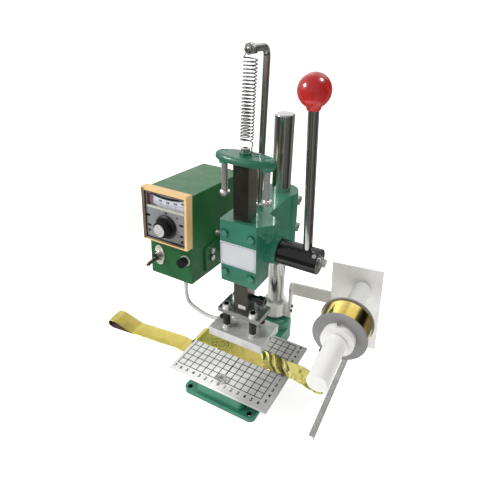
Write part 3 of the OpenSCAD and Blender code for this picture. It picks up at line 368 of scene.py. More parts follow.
# ---------------------------------------------------------------- mesh kit
class Soup:
    """Collects faces of several shapes, each with a material, into one mesh. Points are mm in a frame matrix."""

    def __init__(self, name):
        self.name, self.v, self.f, self.m, self.s, self.mats = name, [], [], [], [], []

    def _mat(self, mat):
        if mat not in self.mats:
            self.mats.append(mat)
        return self.mats.index(mat)

    def add(self, M, pts, faces, mat, smooth=False):
        base, k = len(self.v), self._mat(mat)
        self.v += [(M @ Vector(p)) * MM for p in pts]
        self.f += [[base + i for i in f] for f in faces]
        self.m += [k] * len(faces)
        self.s += [smooth] * len(faces)

    def box(self, M, x, y, z, mat, r=0.0):
        """Block with its vertical (local y) edges chamfered by r, so that it is no bare cube."""
        (x0, x1), (y0, y1), (z0, z1) = x, y, z
        if r <= 0:
            pts = [(a, b, c) for a in (x0, x1) for b in (y0, y1) for c in (z0, z1)]
            faces = [(0, 1, 3, 2), (4, 6, 7, 5), (0, 4, 5, 1), (2, 3, 7, 6), (0, 2, 6, 4), (1, 5, 7, 3)]
            self.add(M, pts, faces, mat)
            return
        ring = [(x0 + r, z0), (x1 - r, z0), (x1, z0 + r), (x1, z1 - r), (x1 - r, z1), (x0 + r, z1), (x0, z1 - r), (x0, z0 + r)]
        self.prism(M, ring, y0, y1, mat)

    def prism(self, M, ring, y0, y1, mat, smooth=False):
        """Ring of (x, z) points swept from y0 to y1."""
        n = len(ring)
        pts = [(x, y0, z) for x, z in ring] + [(x, y1, z) for x, z in ring]
        faces = [list(range(n)), list(range(2 * n - 1, n - 1, -1))]
        self.add(M, pts, faces, mat)
        self.add(M, pts, [(i, i + n, (i + 1) % n + n, (i + 1) % n) for i in range(n)], mat, smooth)

    def lathe(self, M, profile, mat, n=48, smooth=True):
        """Profile of (r, h) points turned about local z, closed where r is 0."""
        pts, faces = [], []
        for r, h in profile:
            pts += [(r * math.cos(2 * math.pi * i / n), r * math.sin(2 * math.pi * i / n), h) for i in range(n)]
        for k in range(len(profile) - 1):
            for i in range(n):
                j = (i + 1) % n
                faces.append((k * n + i, k * n + j, (k + 1) * n + j, (k + 1) * n + i))
        self.add(M, pts, faces, mat, smooth)

    def tube(self, M, path, r, mat, n=12, caps=True):
        pts = [Vector(p) for p in path]
        up = Vector((0, 0, 1))
        tang = [(pts[min(i + 1, len(pts) - 1)] - pts[max(i - 1, 0)]).normalized() for i in range(len(pts))]
        side = tang[0].cross(up)
        if side.length < 1e-3:
            side = tang[0].cross(Vector((1, 0, 0)))
        side.normalize()
        out = []
        rs = r if isinstance(r, (list, tuple)) else [r] * len(pts)
        for i, p in enumerate(pts):
            if i:
                q = tang[i - 1].rotation_difference(tang[i])
                side = q @ side
            b = tang[i].cross(side).normalized()
            for k in range(n):
                a = 2 * math.pi * k / n
                out.append(p + (side * math.cos(a) + b * math.sin(a)) * rs[i])
        faces = [(i * n + k, i * n + (k + 1) % n, (i + 1) * n + (k + 1) % n, (i + 1) * n + k) for i in range(len(pts) - 1) for k in range(n)]
        self.add(M, out, faces, mat, True)
        if caps:
            last = (len(pts) - 1) * n
            self.add(M, out[:n], [list(range(n - 1, -1, -1))], mat)
            self.add(M, out[last:], [list(range(n))], mat)

    def text(self, M, body, size, at, depth, mat, align="CENTER", spacing=1.0, bold=0.0):
        """Generic lettering in the local xz plane, facing -y, standing proud by depth."""
        cu = bpy.data.curves.new("t", "FONT")
        cu.body, cu.size, cu.align_x, cu.align_y, cu.extrude = body, size, align, "CENTER", depth / 2
        cu.space_character = spacing
        cu.offset = bold
        cu.resolution_u = 3
        o = bpy.data.objects.new("t", cu)
        SCENE.collection.objects.link(o)
        bpy.context.view_layer.update()
        me = o.evaluated_get(bpy.context.evaluated_depsgraph_get()).to_mesh()
        pts = [(at[0] + v.co.x, at[1] - v.co.z, at[2] + v.co.y) for v in me.vertices]
        faces = [list(p.vertices) for p in me.polygons]
        o.evaluated_get(bpy.context.evaluated_depsgraph_get()).to_mesh_clear()
        bpy.data.objects.remove(o)
        bpy.data.curves.remove(cu)
        if pts:
            self.add(M, pts, faces, mat)

    def build(self):
        me = bpy.data.meshes.new(self.name)
        me.from_pydata([tuple(v) for v in self.v], [], self.f)
        for m in self.mats:
            me.materials.append(m)
        me.polygons.foreach_set("material_index", self.m)
        me.polygons.foreach_set("use_smooth", self.s)
        me.validate()
        me.update()
        o = bpy.data.objects.new(self.name, me)
        SCENE.collection.objects.link(o)
        return o


def catmull(points, step):
    """Smooth curve through the points (any dimension), sampled about every step."""
    p = np.array(points, float)
    p = np.vstack([2 * p[0] - p[1], p, 2 * p[-1] - p[-2]])
    out = []
    for i in range(1, len(p) - 2):
        a, b, c, d = p[i - 1], p[i], p[i + 1], p[i + 2]
        n = max(2, int(np.linalg.norm((c - b)[:3]) / step))
        t = np.linspace(0, 1, n, endpoint=False)[:, None]
        # centripetal-like tangents, limited so that uneven spacing doesn't overshoot
        lb, lc, ld = np.linalg.norm((b - a)[:3]), np.linalg.norm((c - b)[:3]), np.linalg.norm((d - c)[:3])
        mb = (c - b) * (lb / (lb + lc)) + (b - a) * (lc / (lb + lc)) * (lc / max(lb, 1e-9))
        mc = (d - c) * (lc / (lc + ld)) * (lc / max(ld, 1e-9)) + (c - b) * (ld / (lc + ld))
        h = [2 * t**3 - 3 * t**2 + 1, t**3 - 2 * t**2 + t, -2 * t**3 + 3 * t**2, t**3 - t**2]
        out.append(h[0] * b + h[1] * mb + h[2] * c + h[3] * mc)
    out.append(p[-2][None])
    return np.vstack(out)


# ---------------------------------------------------------------- heater cable (cord)
LEAD = [(-98, 15.3, 133.6), (-98, 14.9, 128), (-98.1, 14.7, 120), (-98.3, 14.6, 112), (-98.2, 14.5, 104), (-97.2, 14.4, 96.5), (-94.8, 14.3, 91), (-90.6, 14.2, 87),
        (-85, 14, 84.3), (-78, 13.6, 82.2), (-70, 13.2, 80.4), (-62, 12.8, 79.4), (-54, 12.5, 79.6), (-47, 12.4, 80.9), (-43, 12.4, 81.7), (-40.02, 12.4, 82)]


def make_cable():
    path = catmull(LEAD, 1.6)
    s = Soup("heater_lead")
    s.tube(WORLD, path, 2.9, MATS["cable_sleeve"], 24)
    o = s.build()
    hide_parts("heater_cable")
    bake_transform(o)


make_cable()


# ---------------------------------------------------------------- foil web (film)
def make_film():
    web_a = [[112.2, 106.6], [115.6, 103.2], [119.2, 98.4], [122.2, 92], [124.4, 83], [125.4, 70], [125.9, 56], [125.9, 46], [125, 38.6], [121.4, 34], [116, 32],
             [110, 33.0], [100, 35.6], [88, 37.6], [78, 39], [70, 38.6], [40, 38.4], [0, 38.4], [-40, 38.4],
             [-66, 38.4], [-74, 38.8], [-78.5, 36.4], [-82, 30], [-86, 19], [-91, 9], [-97, 3]]
    web_b = [[-118, 0.8], [-140, 0.8], [-180, 1], [-198, 1.3], [-206, 3.8], [-218, 9.4], [-229, 13.4], [-236, 14.2],
             [-241, 12.2], [-242.6, 8.2], [-241, 4], [-236, 1.4], [-226, 0.6], [-210, 0.5], [-193, 0.5]]
    c, s = math.cos(math.radians(6.2)), math.sin(math.radians(6.2))
    ctrl = [(x, 12.7, z, 0.0, 1.0) for x, z in web_a]
    ctrl.append((-104.5, 13.2, 1.0, -s * 0.4, 1.0))
    for x, z in web_b:
        ctrl.append((-107 + (x + 107) * c - 15.2 * s, (x + 107) * s + 15.2 * c, z, -s, c))
    line = catmull(ctrl, 1.15)
    P = line[:, :3]
    L = np.stack([line[:, 3], line[:, 4], np.zeros(len(line))], 1)
    L /= np.linalg.norm(L, axis=1)[:, None]
    Tn = np.gradient(P, axis=0)
    Tn /= np.linalg.norm(Tn, axis=1)[:, None]
    N = np.cross(L, Tn)
    nx, half = 31, 14.55
    grid = np.zeros((len(P), nx, 3))
    for i in range(len(P)):
        x, z = P[i, 0], P[i, 2]
        for j in range(nx):
            t = -1 + 2 * j / (nx - 1)
            y = t * half
            q = P[i] + L[i] * y
            d = 0.0
            # slight waves of film lying on the table
            on_table = 1.0 if -74 < x < 76 and z > 37 else 0.0
            if on_table:
                d += 0.09 * (1 + math.sin(x * 0.21 + 0.8 * math.sin(y * 0.22)))
                # lifted oblique waves beside the heater
                u = 0.75 * x + 0.66 * q[1]
                env = math.exp(-((u - 46.5) / 11.0) ** 2)
                ph = (u - 33 + 1.6 * math.sin(q[1] * 0.21)) * 2 * math.pi / 12.5
                d += env * (2.7 * (0.5 + 0.5 * math.sin(ph)) + 0.5 * math.sin(2 * ph + 0.9) + 0.9)
                # pressed ring and short creases
                ex, ey = (x + 34) / 9.0, (q[1] - 8.5) / 9.6
                ring = math.hypot(ex, ey)
                d -= 0.0
                d += 0.5 * math.exp(-((ring - 1) / 0.12) ** 2)
                for cx, cy, ang, ln in ((-52, 14, 0.4, 7), (-47, 9, 0.9, 6), (-44, 3, 0.7, 5), (-58, 20, 0.2, 5), (-50, 22, 0.3, 6)):
                    a = (x - cx) * math.cos(ang) + (q[1] - cy) * math.sin(ang)
                    b = -(x - cx) * math.sin(ang) + (q[1] - cy) * math.cos(ang)
                    d += 0.6 * math.exp(-((b / 0.8) ** 2) - (a / ln) ** 2 * 2)
            # crumpled stretch between the table and the guide bar
            if 70 < x < 127 and z < 44:
                k = min(1.0, (x - 70) / 12)
                v = Vector((x * 0.085, q[1] * 0.085, 2.3))
                n1 = abs(noise.noise(v * 0.55)) + 0.3 * abs(noise.noise(v * 1.15 + Vector((7, 3, 1))))
                n2 = noise.noise(Vector((x * 0.12 + q[1] * 0.16, 4.0, 9.0)))
                d += k * (5.5 * (0.42 - n1) + 1.4 * n2)
                if x < 84:
                    d = max(d, -0.1)
            elif z >= 44 and x > 90:
                d += 0.5 * noise.noise(Vector((z * 0.05, q[1] * 0.07, 5.0)))
            # curl across the width on the bench
            if x < -99:
                k = min(1.0, (-99 - x) / 14)
                d += k * 0.9 * (1 - t * t) * (1.0 if x > -200 or Tn[i, 0] < 0 else 0.3)
                d += k * 0.22 * (1 + noise.noise(Vector((x * 0.05, q[1] * 0.09, 1.0))))
            elif x < -76:
                d += 0.35 * noise.noise(Vector((x * 0.11, q[1] * 0.06, 3.0)))
            grid[i, j] = q + N[i] * d
    grid[:, :, 2] = np.maximum(grid[:, :, 2], 0.25)
    # keep clear of the table top and its edge
    top = (np.abs(grid[:, :, 0]) < 76.2)
    grid[:, :, 2] = np.where(top & (grid[:, :, 2] > 30), np.maximum(grid[:, :, 2], 38.22), grid[:, :, 2])
    # surface normals of the displaced grid
    du, dv = np.gradient(grid, axis=0), np.gradient(grid, axis=1)
    nn = np.cross(dv, du)
    nn /= np.maximum(np.linalg.norm(nn, axis=2)[:, :, None], 1e-9)
    t = 0.06
    up, low = grid + nn * t, grid - nn * t
    ni = len(P)
    s_ = Soup("foil_film")
    idx = lambda i, j: i * nx + j
    f_up = [(idx(i, j), idx(i, j + 1), idx(i + 1, j + 1), idx(i + 1, j)) for i in range(ni - 1) for j in range(nx - 1)]
    s_.add(WORLD, up.reshape(-1, 3).tolist(), f_up, GOLD, True)
    k_wave_highlight, k_fold_shade, k_lit, k_bench_shaded = (s_._mat(m) for m in (GOLD_WAVE_HIGHLIGHT, GOLD_FOLD_SHADE, GOLD_LIT, GOLD_BENCH_SHADED))
    for n, f in enumerate(f_up):
        x, y, z = grid.reshape(-1, 3)[f[0]]
        u = 0.75 * x + 0.66 * y
        # painted shade: the foil lying on the bench takes the darker copy of the gold
        if x < -100:
            s_.m[n] = k_bench_shaded
        # painted highlight on the waves and the crumpled stretch; wave faces tilted away take the dark fold copy as
        # painted shade
        if z < 46 and 30 < u and x < 128:
            s_.m[n] = k_wave_highlight if u < 66 and x < 78 else k_lit
            tilt = float(nn.reshape(-1, 3)[f[0]] @ (0.75, 0.66, 0.0))
            if u < 62 and x < 72 and tilt > 0.07:
                s_.m[n] = k_fold_shade
        # painted shade along the pressed ring and the short creases
        if z > 37 and -64 < x < -20:
            ring = math.hypot((x + 34) / 9.0, (y - 8.5) / 9.6)
            lines = [abs(ring - 1.04) * 9.0 < 0.62]
            for cx, cy, ang, ln in ((-52, 14, 0.4, 7), (-47, 9, 0.9, 6), (-44, 3, 0.7, 5)):
                a = (x - cx) * math.cos(ang) + (y - cy) * math.sin(ang)
                b = -(x - cx) * math.sin(ang) + (y - cy) * math.cos(ang)
                lines.append(abs(b) < 0.62 and abs(a) < ln * 0.8)
            if any(lines):
                s_.m[n] = k_fold_shade
    s_.add(WORLD, low.reshape(-1, 3).tolist(), [f[::-1] for f in f_up], FOIL_BACK, True)
    rim, base = [], ni * nx
    for i in range(ni - 1):
        rim.append((idx(i + 1, 0), idx(i, 0), base + idx(i, 0), base + idx(i + 1, 0))[::-1])
        rim.append((idx(i, nx - 1), idx(i + 1, nx - 1), base + idx(i + 1, nx - 1), base + idx(i, nx - 1))[::-1])
    for j in range(nx - 1):
        rim.append((idx(0, j), idx(0, j + 1), base + idx(0, j + 1), base + idx(0, j))[::-1])
        rim.append((idx(ni - 1, j + 1), idx(ni - 1, j), base + idx(ni - 1, j), base + idx(ni - 1, j + 1))[::-1])
    k = s_._mat(GOLD)
    s_.f += [list(f) for f in rim]
    s_.m += [k] * len(rim)
    s_.s += [False] * len(rim)
    o = s_.build()
    o.visible_glossy = False
    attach(o, "stand")
    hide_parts("foil_web")
    return o


make_film()


# ---------------------------------------------------------------- return spring (wound wire)
def make_spring():
    a, b = Vector((0.4, 13, 346.4)), Vector((2, 16.8, 427.4))
    ax = (b - a).normalized()
    u = ax.cross(Vector((0, 1, 0))).normalized()
    w = ax.cross(u).normalized()
    turns, r = 23.0, 6.9
    start = math.radians(20)
    path = []
    # lower wire: from the yoke top, past the boss, up into the first turn
    low = [(15.2, 16.0, 331.3), (11.8, 15.6, 331.4), (8.6, 15.2, 331.6), (6.6, 14.9, 332.6), (6.0, 14.6, 335.2), (6.4, 14.2, 339.4), (7.2, 13.8, 343.2)]
    first = a + (u * math.cos(start) + w * math.sin(start)) * r
    for i in range(int(turns * 26) + 1):
        t = i / (turns * 26)
        ang = start + 2 * math.pi * turns * t
        path.append(a.lerp(b, t) + (u * math.cos(ang) + w * math.sin(ang)) * r)
    # upper wire: rises from the coil to behind the nut, round the arm, and back along its top
    loop = []
    for k in range(0, 13):
        ang = math.radians(-75 + k * 255 / 12)
        loop.append(ARM @ Vector((4.55 * math.cos(ang), 4.55 * math.sin(ang), 7.3 + 0.12 * k)))
    tail = [ARM @ Vector((-4.5, 0.6, 9.2)), ARM @ Vector((-4.3, 1.6, 12.0)), ARM @ Vector((-4.3, 1.4, 17.0))]
    return path, low, loop, tail, first


def build_spring():
    path, low, loop, tail, first = make_spring()
    s = Soup("spring_coil")
    lower = [tuple(p) for p in catmull(low + [tuple(path[0]), tuple(path[1])], 0.8)][:-2]
    coil = [tuple(p) for p in path]
    top = Vector(coil[-1])
    mid = [tuple(top), tuple(top.lerp(loop[0], 0.35) + Vector((0.8, -0.6, 0.4))), tuple(top.lerp(loop[0], 0.7) + Vector((0.6, -0.2, 0)))]
    upper = [tuple(p) for p in catmull(mid + [tuple(p) for p in loop] + [tuple(p) for p in tail], 0.8)]
    s.tube(WORLD, lower + coil[:-1] + upper, 0.7, WIRE, 10)
    o = s.build()
    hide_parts("return_spring")
    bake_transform(o)
    return o


build_spring()


# ---------------------------------------------------------------- CAD nodes: finish and rounded edges
RECORD = frame["record"]
SLOT_OF = {p["node"]: p["material_slot"] for p in RECORD["subparts"]}
BEVELS = {
    "base_casting": 1.5, "head_casting": 1.1, "front_cover": 1.0, "yoke_plate": 1.6, "control_box": 2.2, "box_rear_cover": 0.4, "controller_bezel": 1.0,
    "work_table": 0.5, "heater_block": 0.6, "connection_plate": 0.6, "ram_bar": 0.5, "column": 1.0, "support_collar": 0.6, "foil_plate": 0.3, "guide_bar": 0.2,
    "foil_discs": 0.5, "disc_hubs": 0.8, "foil_rod": 0.9, "lever_hub": 0.8, "dial_knob": 0.5, "nameplate": 0.15, "rack_arm": 0.4, "rack_post": 0.4,
    "plate_bolts": 0.4, "insulating_spacers": 0.5, "box_bracket": 0.6, "cable_gland": 0.4, "fuse_cap": 0.4, "toggle_switch": 0.3, "controller_body": 0.3,
    "pinch_bolts": 0.4, "cover_screws": 0.2, "hub_fasteners": 0.4, "spring_post_nuts": 0.5, "stop_locknuts": 0.5, "base_screws": 0.4, "foil_roll": 0.3,
}
NO_BEVEL = {"meter_needle", "heater_cable", "foil_web", "return_spring", "spring_post", "lever_knob", "lever_rod", "toggle_lever", "foil_core"}


def paint(name, mat, where):
    """Gives a material to the faces of a CAD node whose centre (mm) and normal satisfy where."""
    me = NODES[name].data
    me.materials.append(mat)
    k = len(me.materials) - 1
    for p in me.polygons:
        c = p.center * 1000
        if where(c, p.normal):
            p.material_index = k


def finish_nodes():
    for name, o in NODES.items():
        o.data.materials.clear()
        o.data.materials.append(NODE_MAT.get(name) or MATS[SLOT_OF[name]])
        if o.hide_render:
            continue
        o.data.polygons.foreach_set("use_smooth", [True] * len(o.data.polygons))
        w = o.modifiers.new("weld", "WELD")
        w.merge_threshold = 2e-6
        if name not in NO_BEVEL:
            d = o.modifiers.new("planar", "DECIMATE")
            d.decimate_type = "DISSOLVE"
            d.angle_limit = math.radians(0.4)
            d.delimit = {"MATERIAL"}
            b = o.modifiers.new("bevel", "BEVEL")
            b.limit_method = "ANGLE"
            b.angle_limit = math.radians(38)
            b.width = BEVELS.get(name, 0.35) * MM
            b.segments = 3 if BEVELS.get(name, 0.35) >= 0.9 else 2
            b.use_clamp_overlap = True
            b.harden_normals = False
        n = o.modifiers.new("normals", "WEIGHTED_NORMAL")
        n.keep_sharp = False
        n.weight = 60


finish_nodes()


HOLE_X, HOLE_Y = 46.9, 55.8


def paint_nodes():
    def near(c, x, y, r):
        return math.hypot(c.x - x, c.y - y) < r

    # painted shade: black in the sockets of the cap screws and the yoke screw, spread over most of the cap screws' tops
    paint("plate_bolts", SHADE_AND_JOINT_BLACK, lambda c, n: c.z > 123.5 and any(near(c, x, y, 4.3) for x in (-20, 20) for y in (-1, 24)) and (n.z > 0.9 or any(near(c, x, y, 3.1) for x in (-20, 20) for y in (-1, 24))))
    paint("yoke_screw", SHADE_AND_JOINT_BLACK, lambda c, n: c.z > 334.4 and near(c, 0, 11.45, 3.1))
    # painted over on top of the yoke, and the plated adjuster at the left of the cover
    for name in ("stop_screw_left", "stop_screw_right"):
        paint(name, MATS["green_enamel"], lambda c, n: c.z > 322 and n.z > 0.9)
    paint("cover_screws", TIP_STEEL, lambda c, n: c.x < -26.5)
    inv = BOX.inverted()

    def inner_wall(c, n):
        q = inv @ c
        return -12.4 < q.y < 0.2 and (abs(q.x + 65.2) < 0.3 or abs(q.x + 2.2) < 0.3 or abs(q.z + 66.5) < 0.3 or abs(q.z + 1.5) < 0.3) and -66 < q.x < -1.5 and -67.2 < q.z < -0.8

    # painted shade: the bezel's inner walls take the dark trim tone
    paint("controller_bezel", BEZEL_SHADE_TRIM, inner_wall)
    # painted shade: black on the walls of the base's corner holes
    paint("base_casting", SHADE_AND_JOINT_BLACK, lambda c, n: abs(n.z) < 0.5 and c.z < 12 and any(near(c, x, y, 4.5) for x in (-HOLE_X, HOLE_X) for y in (-HOLE_Y, HOLE_Y)))
    paint("guide_bar", TIP_STEEL, lambda c, n: abs(n.x) > 0.8)
    # painted highlight: the ram's right face gets a brighter tone standing in for the light it catches
    paint("ram_bar", RAM_SIDE_HIGHLIGHT, lambda c, n: n.x > 0.9)
    # bright key in the ram's socket
    paint("ram_clamp_screw", MATS["steel"], lambda c, n: c.y < 1.5 and c.x < 9)


paint_nodes()


# ---------------------------------------------------------------- printed grid and digits on the table
def make_table_print():
    s = Soup("table_print")
    z0, z1 = 38.0, 38.05
    for k in range(-7, 7):
        h = 0.85 if k == 0 else 0.55
        s.box(WORLD, (10 * k - h, 10 * k + h), (-50.5, 60.5), (z0, z1), INK)
    for k in range(-5, 7):
        s.box(WORLD, (-70.5, 60.5), (10 * k - 0.55, 10 * k + 0.55), (z0, z1), INK)
    up = R(-90, "X")
    for k in range(-7, 7):
        s.text(T(max(10 * k, -69.5), -56.6, 38.02) @ up, str(abs(k)), 7.4, (0, 0, 0), 0.05, INK, bold=0.22)
    for y, t in ((-50, "5"), (-40, "4"), (-30, "3"), (-20, "2"), (-10, "1"), (0, "0"), (10, "1"), (20, "2"), (30, "3"), (40, "4"), (50, "5"), (60, "6")):
        s.text(T(67.0, y, 38.02) @ up, t, 7.4, (0, 0, 0), 0.05, INK, bold=0.22)
    o = s.build()
    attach(o, "stand")


make_table_print()


# ---------------------------------------------------------------- controller face
def controller_face():
    s = Soup("controller_scale")
    # white card at the back of the needle chamber
    s.box(BOX, (-63.5, -3.7), (-5.35, -5.0), (-40.9, -4.1), WHITE_CARD)
    cx = -34.0

    def sag(x, z_mid):
        """Lower edge of the hood over the scale: lowest at the middle."""
        return z_mid + 4.2 * ((x - cx) / 29.0) ** 2

    def hood(z_top, z_low, y0, y1, mat, x0=-63.5, x1=-3.8, n=24):
        xs = [x0 + (x1 - x0) * i / n for i in range(n + 1)]
        ring = [(x, min(-4.05, sag(x, z_low))) for x in xs] + [(x, min(-4.0, sag(x, z_top))) for x in reversed(xs)]
        s.prism(BOX, ring, y0, y1, mat)

    hood(2.0, -6.2, -7.3, -5.3, MATS["controller_plastic"])
    # the two dark strips at and under the hood are painted shadow
    hood(-4.2, -5.2, -7.46, -7.2, SHADE_AND_JOINT_BLACK)
    hood(-7.6, -9.6, -7.2, -5.3, SHADE_AND_JOINT_BLACK)
    # ticks and generic numbers on the card, below the hood
    for i in range(0, 25):
        x = cx - 24 + 2 * i + 1.5
        h = 2.4 if i % 6 == 0 else 1.2
        z = sag(x, -17.0)
        s.box(BOX, (x - 0.2, x + 0.2), (-5.5, -5.3), (z - h, z), INK)
    for i, t in enumerate(("0", "100", "200", "300", "400")):
        x = cx - 22.5 + 12 * i
        s.text(BOX, t, 3.9, (x, -5.4, sag(x, -14.2)), 0.1, INK, bold=0.09)
    # marker block at the left of the window
    s.box(BOX, (-63.4, -59.8), (-7.3, -5.2), (-20.4, -4.6), MAROON, 0.3)
    s.box(BOX, (-59.8, -57.4), (-7.0, -5.2), (-20.4, -5.6), PINKISH, 0.3)
    s.box(BOX, (-61.9, -61.0), (-7.45, -7.2), (-20.6, -7.6), SHADE_AND_JOINT_BLACK)
    s.box(BOX, (-5.0, -3.6), (-7.45, -5.2), (-21.4, -5.0), SHADE_AND_JOINT_BLACK)
    # cream lip under the window
    s.box(BOX, (-63.6, -3.6), (-10.25, -7.4), (-23.8, -21.2), CREAM, 0.3)
    # grey lower panel, and a dark gasket line between the face and its frame
    s.box(BOX, (-64.2, -3.2), (-10.2, -9.9), (-65.4, -24.0), MATS["controller_plastic"], 0.8)
    for x, z in (((-65.2, -64.3), (-66.5, -1.5)), ((-3.1, -2.2), (-66.5, -1.5)), ((-65.2, -2.2), (-2.6, -1.5)), ((-65.2, -2.2), (-66.5, -65.7))):
        s.box(BOX, x, (-10.9, -9.9), z, SHADE_AND_JOINT_BLACK)
    # dark strip along the frame's lower edge: a rubber seal lip, and a painted shadow line under the frame
    s.box(BOX, (-67.0, -0.2), (-0.45, -0.05), (-73.2, -70.9), SHADE_AND_JOINT_BLACK)
    # painted shade on the frame's inner trim at the left and bottom
    s.box(BOX, (-69.0, -65.3), (-12.72, -12.55), (-69.4, 1.8), BEZEL_SHADE_TRIM, 0.4)
    s.box(BOX, (-65.3, -2.1), (-12.72, -12.55), (-68.3, -66.6), BEZEL_SHADE_TRIM)
    # marks beside the dial
    for x0, x1, z0, z1 in ((-64.0, -58.4, -36.8, -33.8), (-62.8, -57.2, -50.6, -47.8), (-62.2, -58.6, -58.4, -55.2),
                           (-11.6, -5.2, -39.4, -36.6), (-10.4, -5.4, -54.6, -51.8), (-15.6, -13.4, -30.4, -28.2)):
        s.box(BOX, (x0, x1), (-10.32, -10.1), (z0, z1), INK, 0.4)
    # scale ring of fine ticks round the dial, pointer over it
    dial = BOX @ T(-32, 0, -45.5)
    for i in range(41):
        a = -140 + 280 * i / 40
        M = dial @ R(a, "Y")
        s.box(M, (-0.12, 0.12), (-10.3, -10.1), (17.0, 18.6 if i % 5 == 0 else 17.9), INK)
    for i, t in enumerate(("0", "1", "2", "3", "4")):
        a = math.radians(-120 + 60 * i)
        if i == 2:
            continue
        s.text(dial, t, 2.6, (20.6 * math.sin(a), -10.25, 20.6 * math.cos(a)), 0.1, INK)
    s.prism(BOX, [(-34.4, -25.4), (-32.0, -28.4), (-29.6, -25.4)], -10.5, -10.1, INK)
    # lamp at the lower right
    s.lathe(BOX @ T(-7.2, -10.1, -61.2) @ R(90, "X"), [(2.0, 0), (2.0, 0.6), (1.6, 1.1), (0.9, 1.4), (0.001, 1.5)], LENS_RED, 24)
    o = s.build()
    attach(o, "head")


controller_face()


def dial_details():
    s = Soup("dial_insert")
    C = BOX @ T(-32, 0, -45.5)
    Y = C @ R(90, "X")
    # domed silver insert with a raised rim
    s.lathe(Y @ T(0, 0, 25.35), [(8.3, 0), (8.5, 0.5), (8.2, 0.75), (7.5, 0.75), (7.2, 0.45), (5.0, 0.62), (2.5, 0.74), (0.001, 0.78)], SILVER_CAP, 56)
    # pointer line on the skirt
    s.box(C @ R(-128, "Y"), (-0.4, 0.4), (-14.0, -12.2), (11.6, 15.8), MATS["white_plastic"])
    o = s.build()
    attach(o, "dial")


dial_details()


# ---------------------------------------------------------------- switch legend, nameplate border
def small_details():
    s = Soup("switch_legend")
    ring = []
    for i in range(40):
        a = 2 * math.pi * i / 40
        ring.append((-54 + 7.6 * math.copysign(abs(math.cos(a)) ** 0.8, math.cos(a)), -97 + 14.6 * math.copysign(abs(math.sin(a)) ** 0.9, math.sin(a))))
    s.prism(BOX, ring, -1.25, -0.82, MATS["pale_plastic"])
    s.text(BOX, "ON", 3.6, (-54, -1.3, -85.6), 0.1, LENS_RED)
    s.text(BOX, "OFF", 3.6, (-54, -1.3, -108.6), 0.1, INK)
    o = s.build()
    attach(o, "head")

    s = Soup("plate_border")
    y0, y1 = -5.56, -5.49
    for k, w in ((1.2, 0.35), (2.2, 0.15)):
        x0, x1, z0, z1 = -24.6 + k, 24.6 - k, 192 + k, 224 - k
        s.box(WORLD, (x0, x1), (y0, y1), (z0, z0 + w), PLATE_LINE)
        s.box(WORLD, (x0, x1), (y0, y1), (z1 - w, z1), PLATE_LINE)
        s.box(WORLD, (x0, x0 + w), (y0, y1), (z0, z1), PLATE_LINE)
        s.box(WORLD, (x1 - w, x1), (y0, y1), (z0, z1), PLATE_LINE)
    for x in (-22.0, 22.0):
        for z in (194.6, 221.4):
            s.lathe(T(x, -5.45, z) @ R(90, "X"), [(1.0, 0), (1.0, 0.12), (0.7, 0.34), (0.001, 0.45)], MATS["steel"], 16)
    o = s.build()
    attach(o, "head")


small_details()


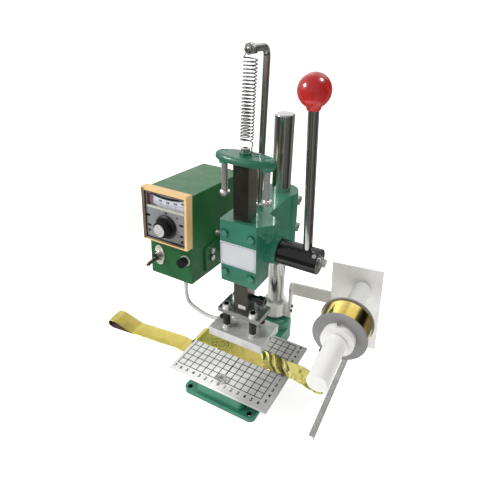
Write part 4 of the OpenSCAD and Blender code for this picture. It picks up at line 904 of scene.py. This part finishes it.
# ---------------------------------------------------------------- stage: floor and light
def make_stage():
    m, nt, bs = new_mat("floor_paper")
    bs.inputs["Base Color"].default_value = (0.93, 0.93, 0.93, 1)
    bs.inputs["Emission Color"].default_value = (1, 1, 1, 1)
    bs.inputs["Emission Strength"].default_value = 0.70
    bs.inputs["Roughness"].default_value = 0.9
    bs.inputs["Specular IOR Level"].default_value = 0.2
    col = mix(nt, remap(nt, noise_tex(nt, 3, 4), 0.3, 0.7), (0.93, 0.93, 0.93), (0.915, 0.915, 0.915))
    nt.links.new(col, bs.inputs["Base Color"])
    me = bpy.data.meshes.new("floor")
    n = 64
    me.from_pydata([(60 * math.cos(2 * math.pi * i / n), 60 * math.sin(2 * math.pi * i / n), -0.0001) for i in range(n)], [], [list(range(n))])
    me.materials.append(m)
    floor = bpy.data.objects.new("floor", me)
    SCENE.collection.objects.link(floor)
    floor.visible_glossy = False
    # white sheet under the press, seen in reflections only
    m, nt, bs = new_mat("sheet_paper")
    bs.inputs["Base Color"].default_value = (0.9, 0.9, 0.88, 1)
    bs.inputs["Roughness"].default_value = 0.9
    me = bpy.data.meshes.new("sheet")
    me.from_pydata([(0.02 + 0.30 * math.cos(2 * math.pi * i / n), 0.02 + 0.27 * math.sin(2 * math.pi * i / n), -0.00005) for i in range(n)], [], [list(range(n))])
    me.materials.append(m)
    sheet = bpy.data.objects.new("sheet", me)
    SCENE.collection.objects.link(sheet)
    sheet.visible_camera = sheet.visible_diffuse = sheet.visible_shadow = False

    def area(name, direction, distance, size, power, aim=(0.02, 0.02, 0.2), colour=(1, 1, 1)):
        li = bpy.data.lights.new(name, "AREA")
        li.shape, li.size, li.energy, li.color = "DISK", size, power, colour
        o = bpy.data.objects.new(name, li)
        d = Vector(direction).normalized()
        o.location = Vector(aim) + d * distance
        o.rotation_mode = "QUATERNION"
        o.rotation_quaternion = d.to_track_quat("Z", "Y")
        SCENE.collection.objects.link(o)

    area("key_light", (-0.70, -0.44, 0.56), 1.3, 0.34, 9)
    area("top_light", (0.43, 0.22, 0.88), 1.4, 0.30, 7.5)

    w = bpy.data.worlds.new("studio")
    SCENE.world = w
    w.use_nodes = True
    w.cycles.sampling_method = "NONE"
    nt = w.node_tree
    bg = nt.nodes["Background"]
    tc = nt.nodes.new("ShaderNodeTexCoord")
    sep = nd(nt, "ShaderNodeSeparateXYZ", {"Vector": tc.outputs["Generated"]})
    az = math_(nt, "MULTIPLY", math_(nt, "ARCTAN2", sep.outputs["Y"], sep.outputs["X"]), 180 / math.pi)
    el = math_(nt, "MULTIPLY", math_(nt, "ARCSINE", sep.outputs["Z"]), 180 / math.pi)

    def ramp(value, stops, lo, hi):
        r = nt.nodes.new("ShaderNodeValToRGB")
        r.color_ramp.interpolation = "EASE"
        els = r.color_ramp.elements
        while len(els) > 1:
            els.remove(els[-1])
        for k, (p, c) in enumerate(stops):
            e = els[0] if k == 0 else els.new((p - lo) / (hi - lo))
            e.position = (p - lo) / (hi - lo)
            e.color = (*c, 1) if isinstance(c, tuple) else (c, c, c, 1)
        nt.links.new(remap(nt, value, lo, hi), r.inputs["Fac"])
        return r.outputs["Color"]

    # room below the horizon, seen in chrome: dim, with a paler strip in front and dark strips at the sides
    low = ramp(az, [(-180, (0.16, 0.165, 0.15)), (-150, (0.09, 0.09, 0.08)), (-132, (0.035, 0.033, 0.03)), (-112, (0.13, 0.135, 0.12)), (-92, (0.10, 0.105, 0.095)),
                    (-72, (0.04, 0.036, 0.03)), (-60, (0.24, 0.23, 0.20)), (-40, (0.12, 0.115, 0.105)), (-10, (0.10, 0.095, 0.09)), (12, (0.03, 0.03, 0.027)), (30, (0.06, 0.06, 0.055)),
                    (44, (0.28, 0.28, 0.26)), (64, (0.14, 0.14, 0.13)), (132, (0.12, 0.12, 0.11)), (156, (0.5, 0.5, 0.48)), (180, (0.16, 0.165, 0.15))], -180, 180)
    # room above the horizon: bright behind and at the left, dim at the right
    high = ramp(az, [(-180, 0.62), (-120, 0.55), (-60, 0.42), (-20, 0.20), (10, 0.08), (34, 0.22), (46, 0.05), (62, 0.07), (70, 1.0), (92, 1.1), (104, 0.7), (115, 0.95), (126, 1.6), (134, 1.3), (147, 0.8), (165, 0.85), (180, 0.62)], -180, 180)
    # furniture line at the back right, dark up to shoulder height
    band = ramp(az, [(-180, 1.0), (44, 1.0), (52, 0.12), (99, 0.12), (106, 1.0), (180, 1.0)], -180, 180)
    band = mix(nt, remap(nt, el, 17, 25), band, (1.0, 1.0, 1.0))
    dim = nt.nodes.new("ShaderNodeMix")
    dim.data_type, dim.blend_type = "RGBA", "MULTIPLY"
    dim.inputs[0].default_value = 1.0
    nt.links.new(high, dim.inputs[6])
    nt.links.new(band, dim.inputs[7])
    high = dim.outputs[2]
    top = mix(nt, remap(nt, el, 50, 80), high, (0.42, 0.42, 0.42))
    sky = mix(nt, remap(nt, el, -6, 4), low, top)
    nt.links.new(sky, bg.inputs["Color"])
    bg.inputs["Strength"].default_value = 1.0


make_stage()
SCENE.view_settings.view_transform = "Standard"
SCENE.view_settings.look = "None"
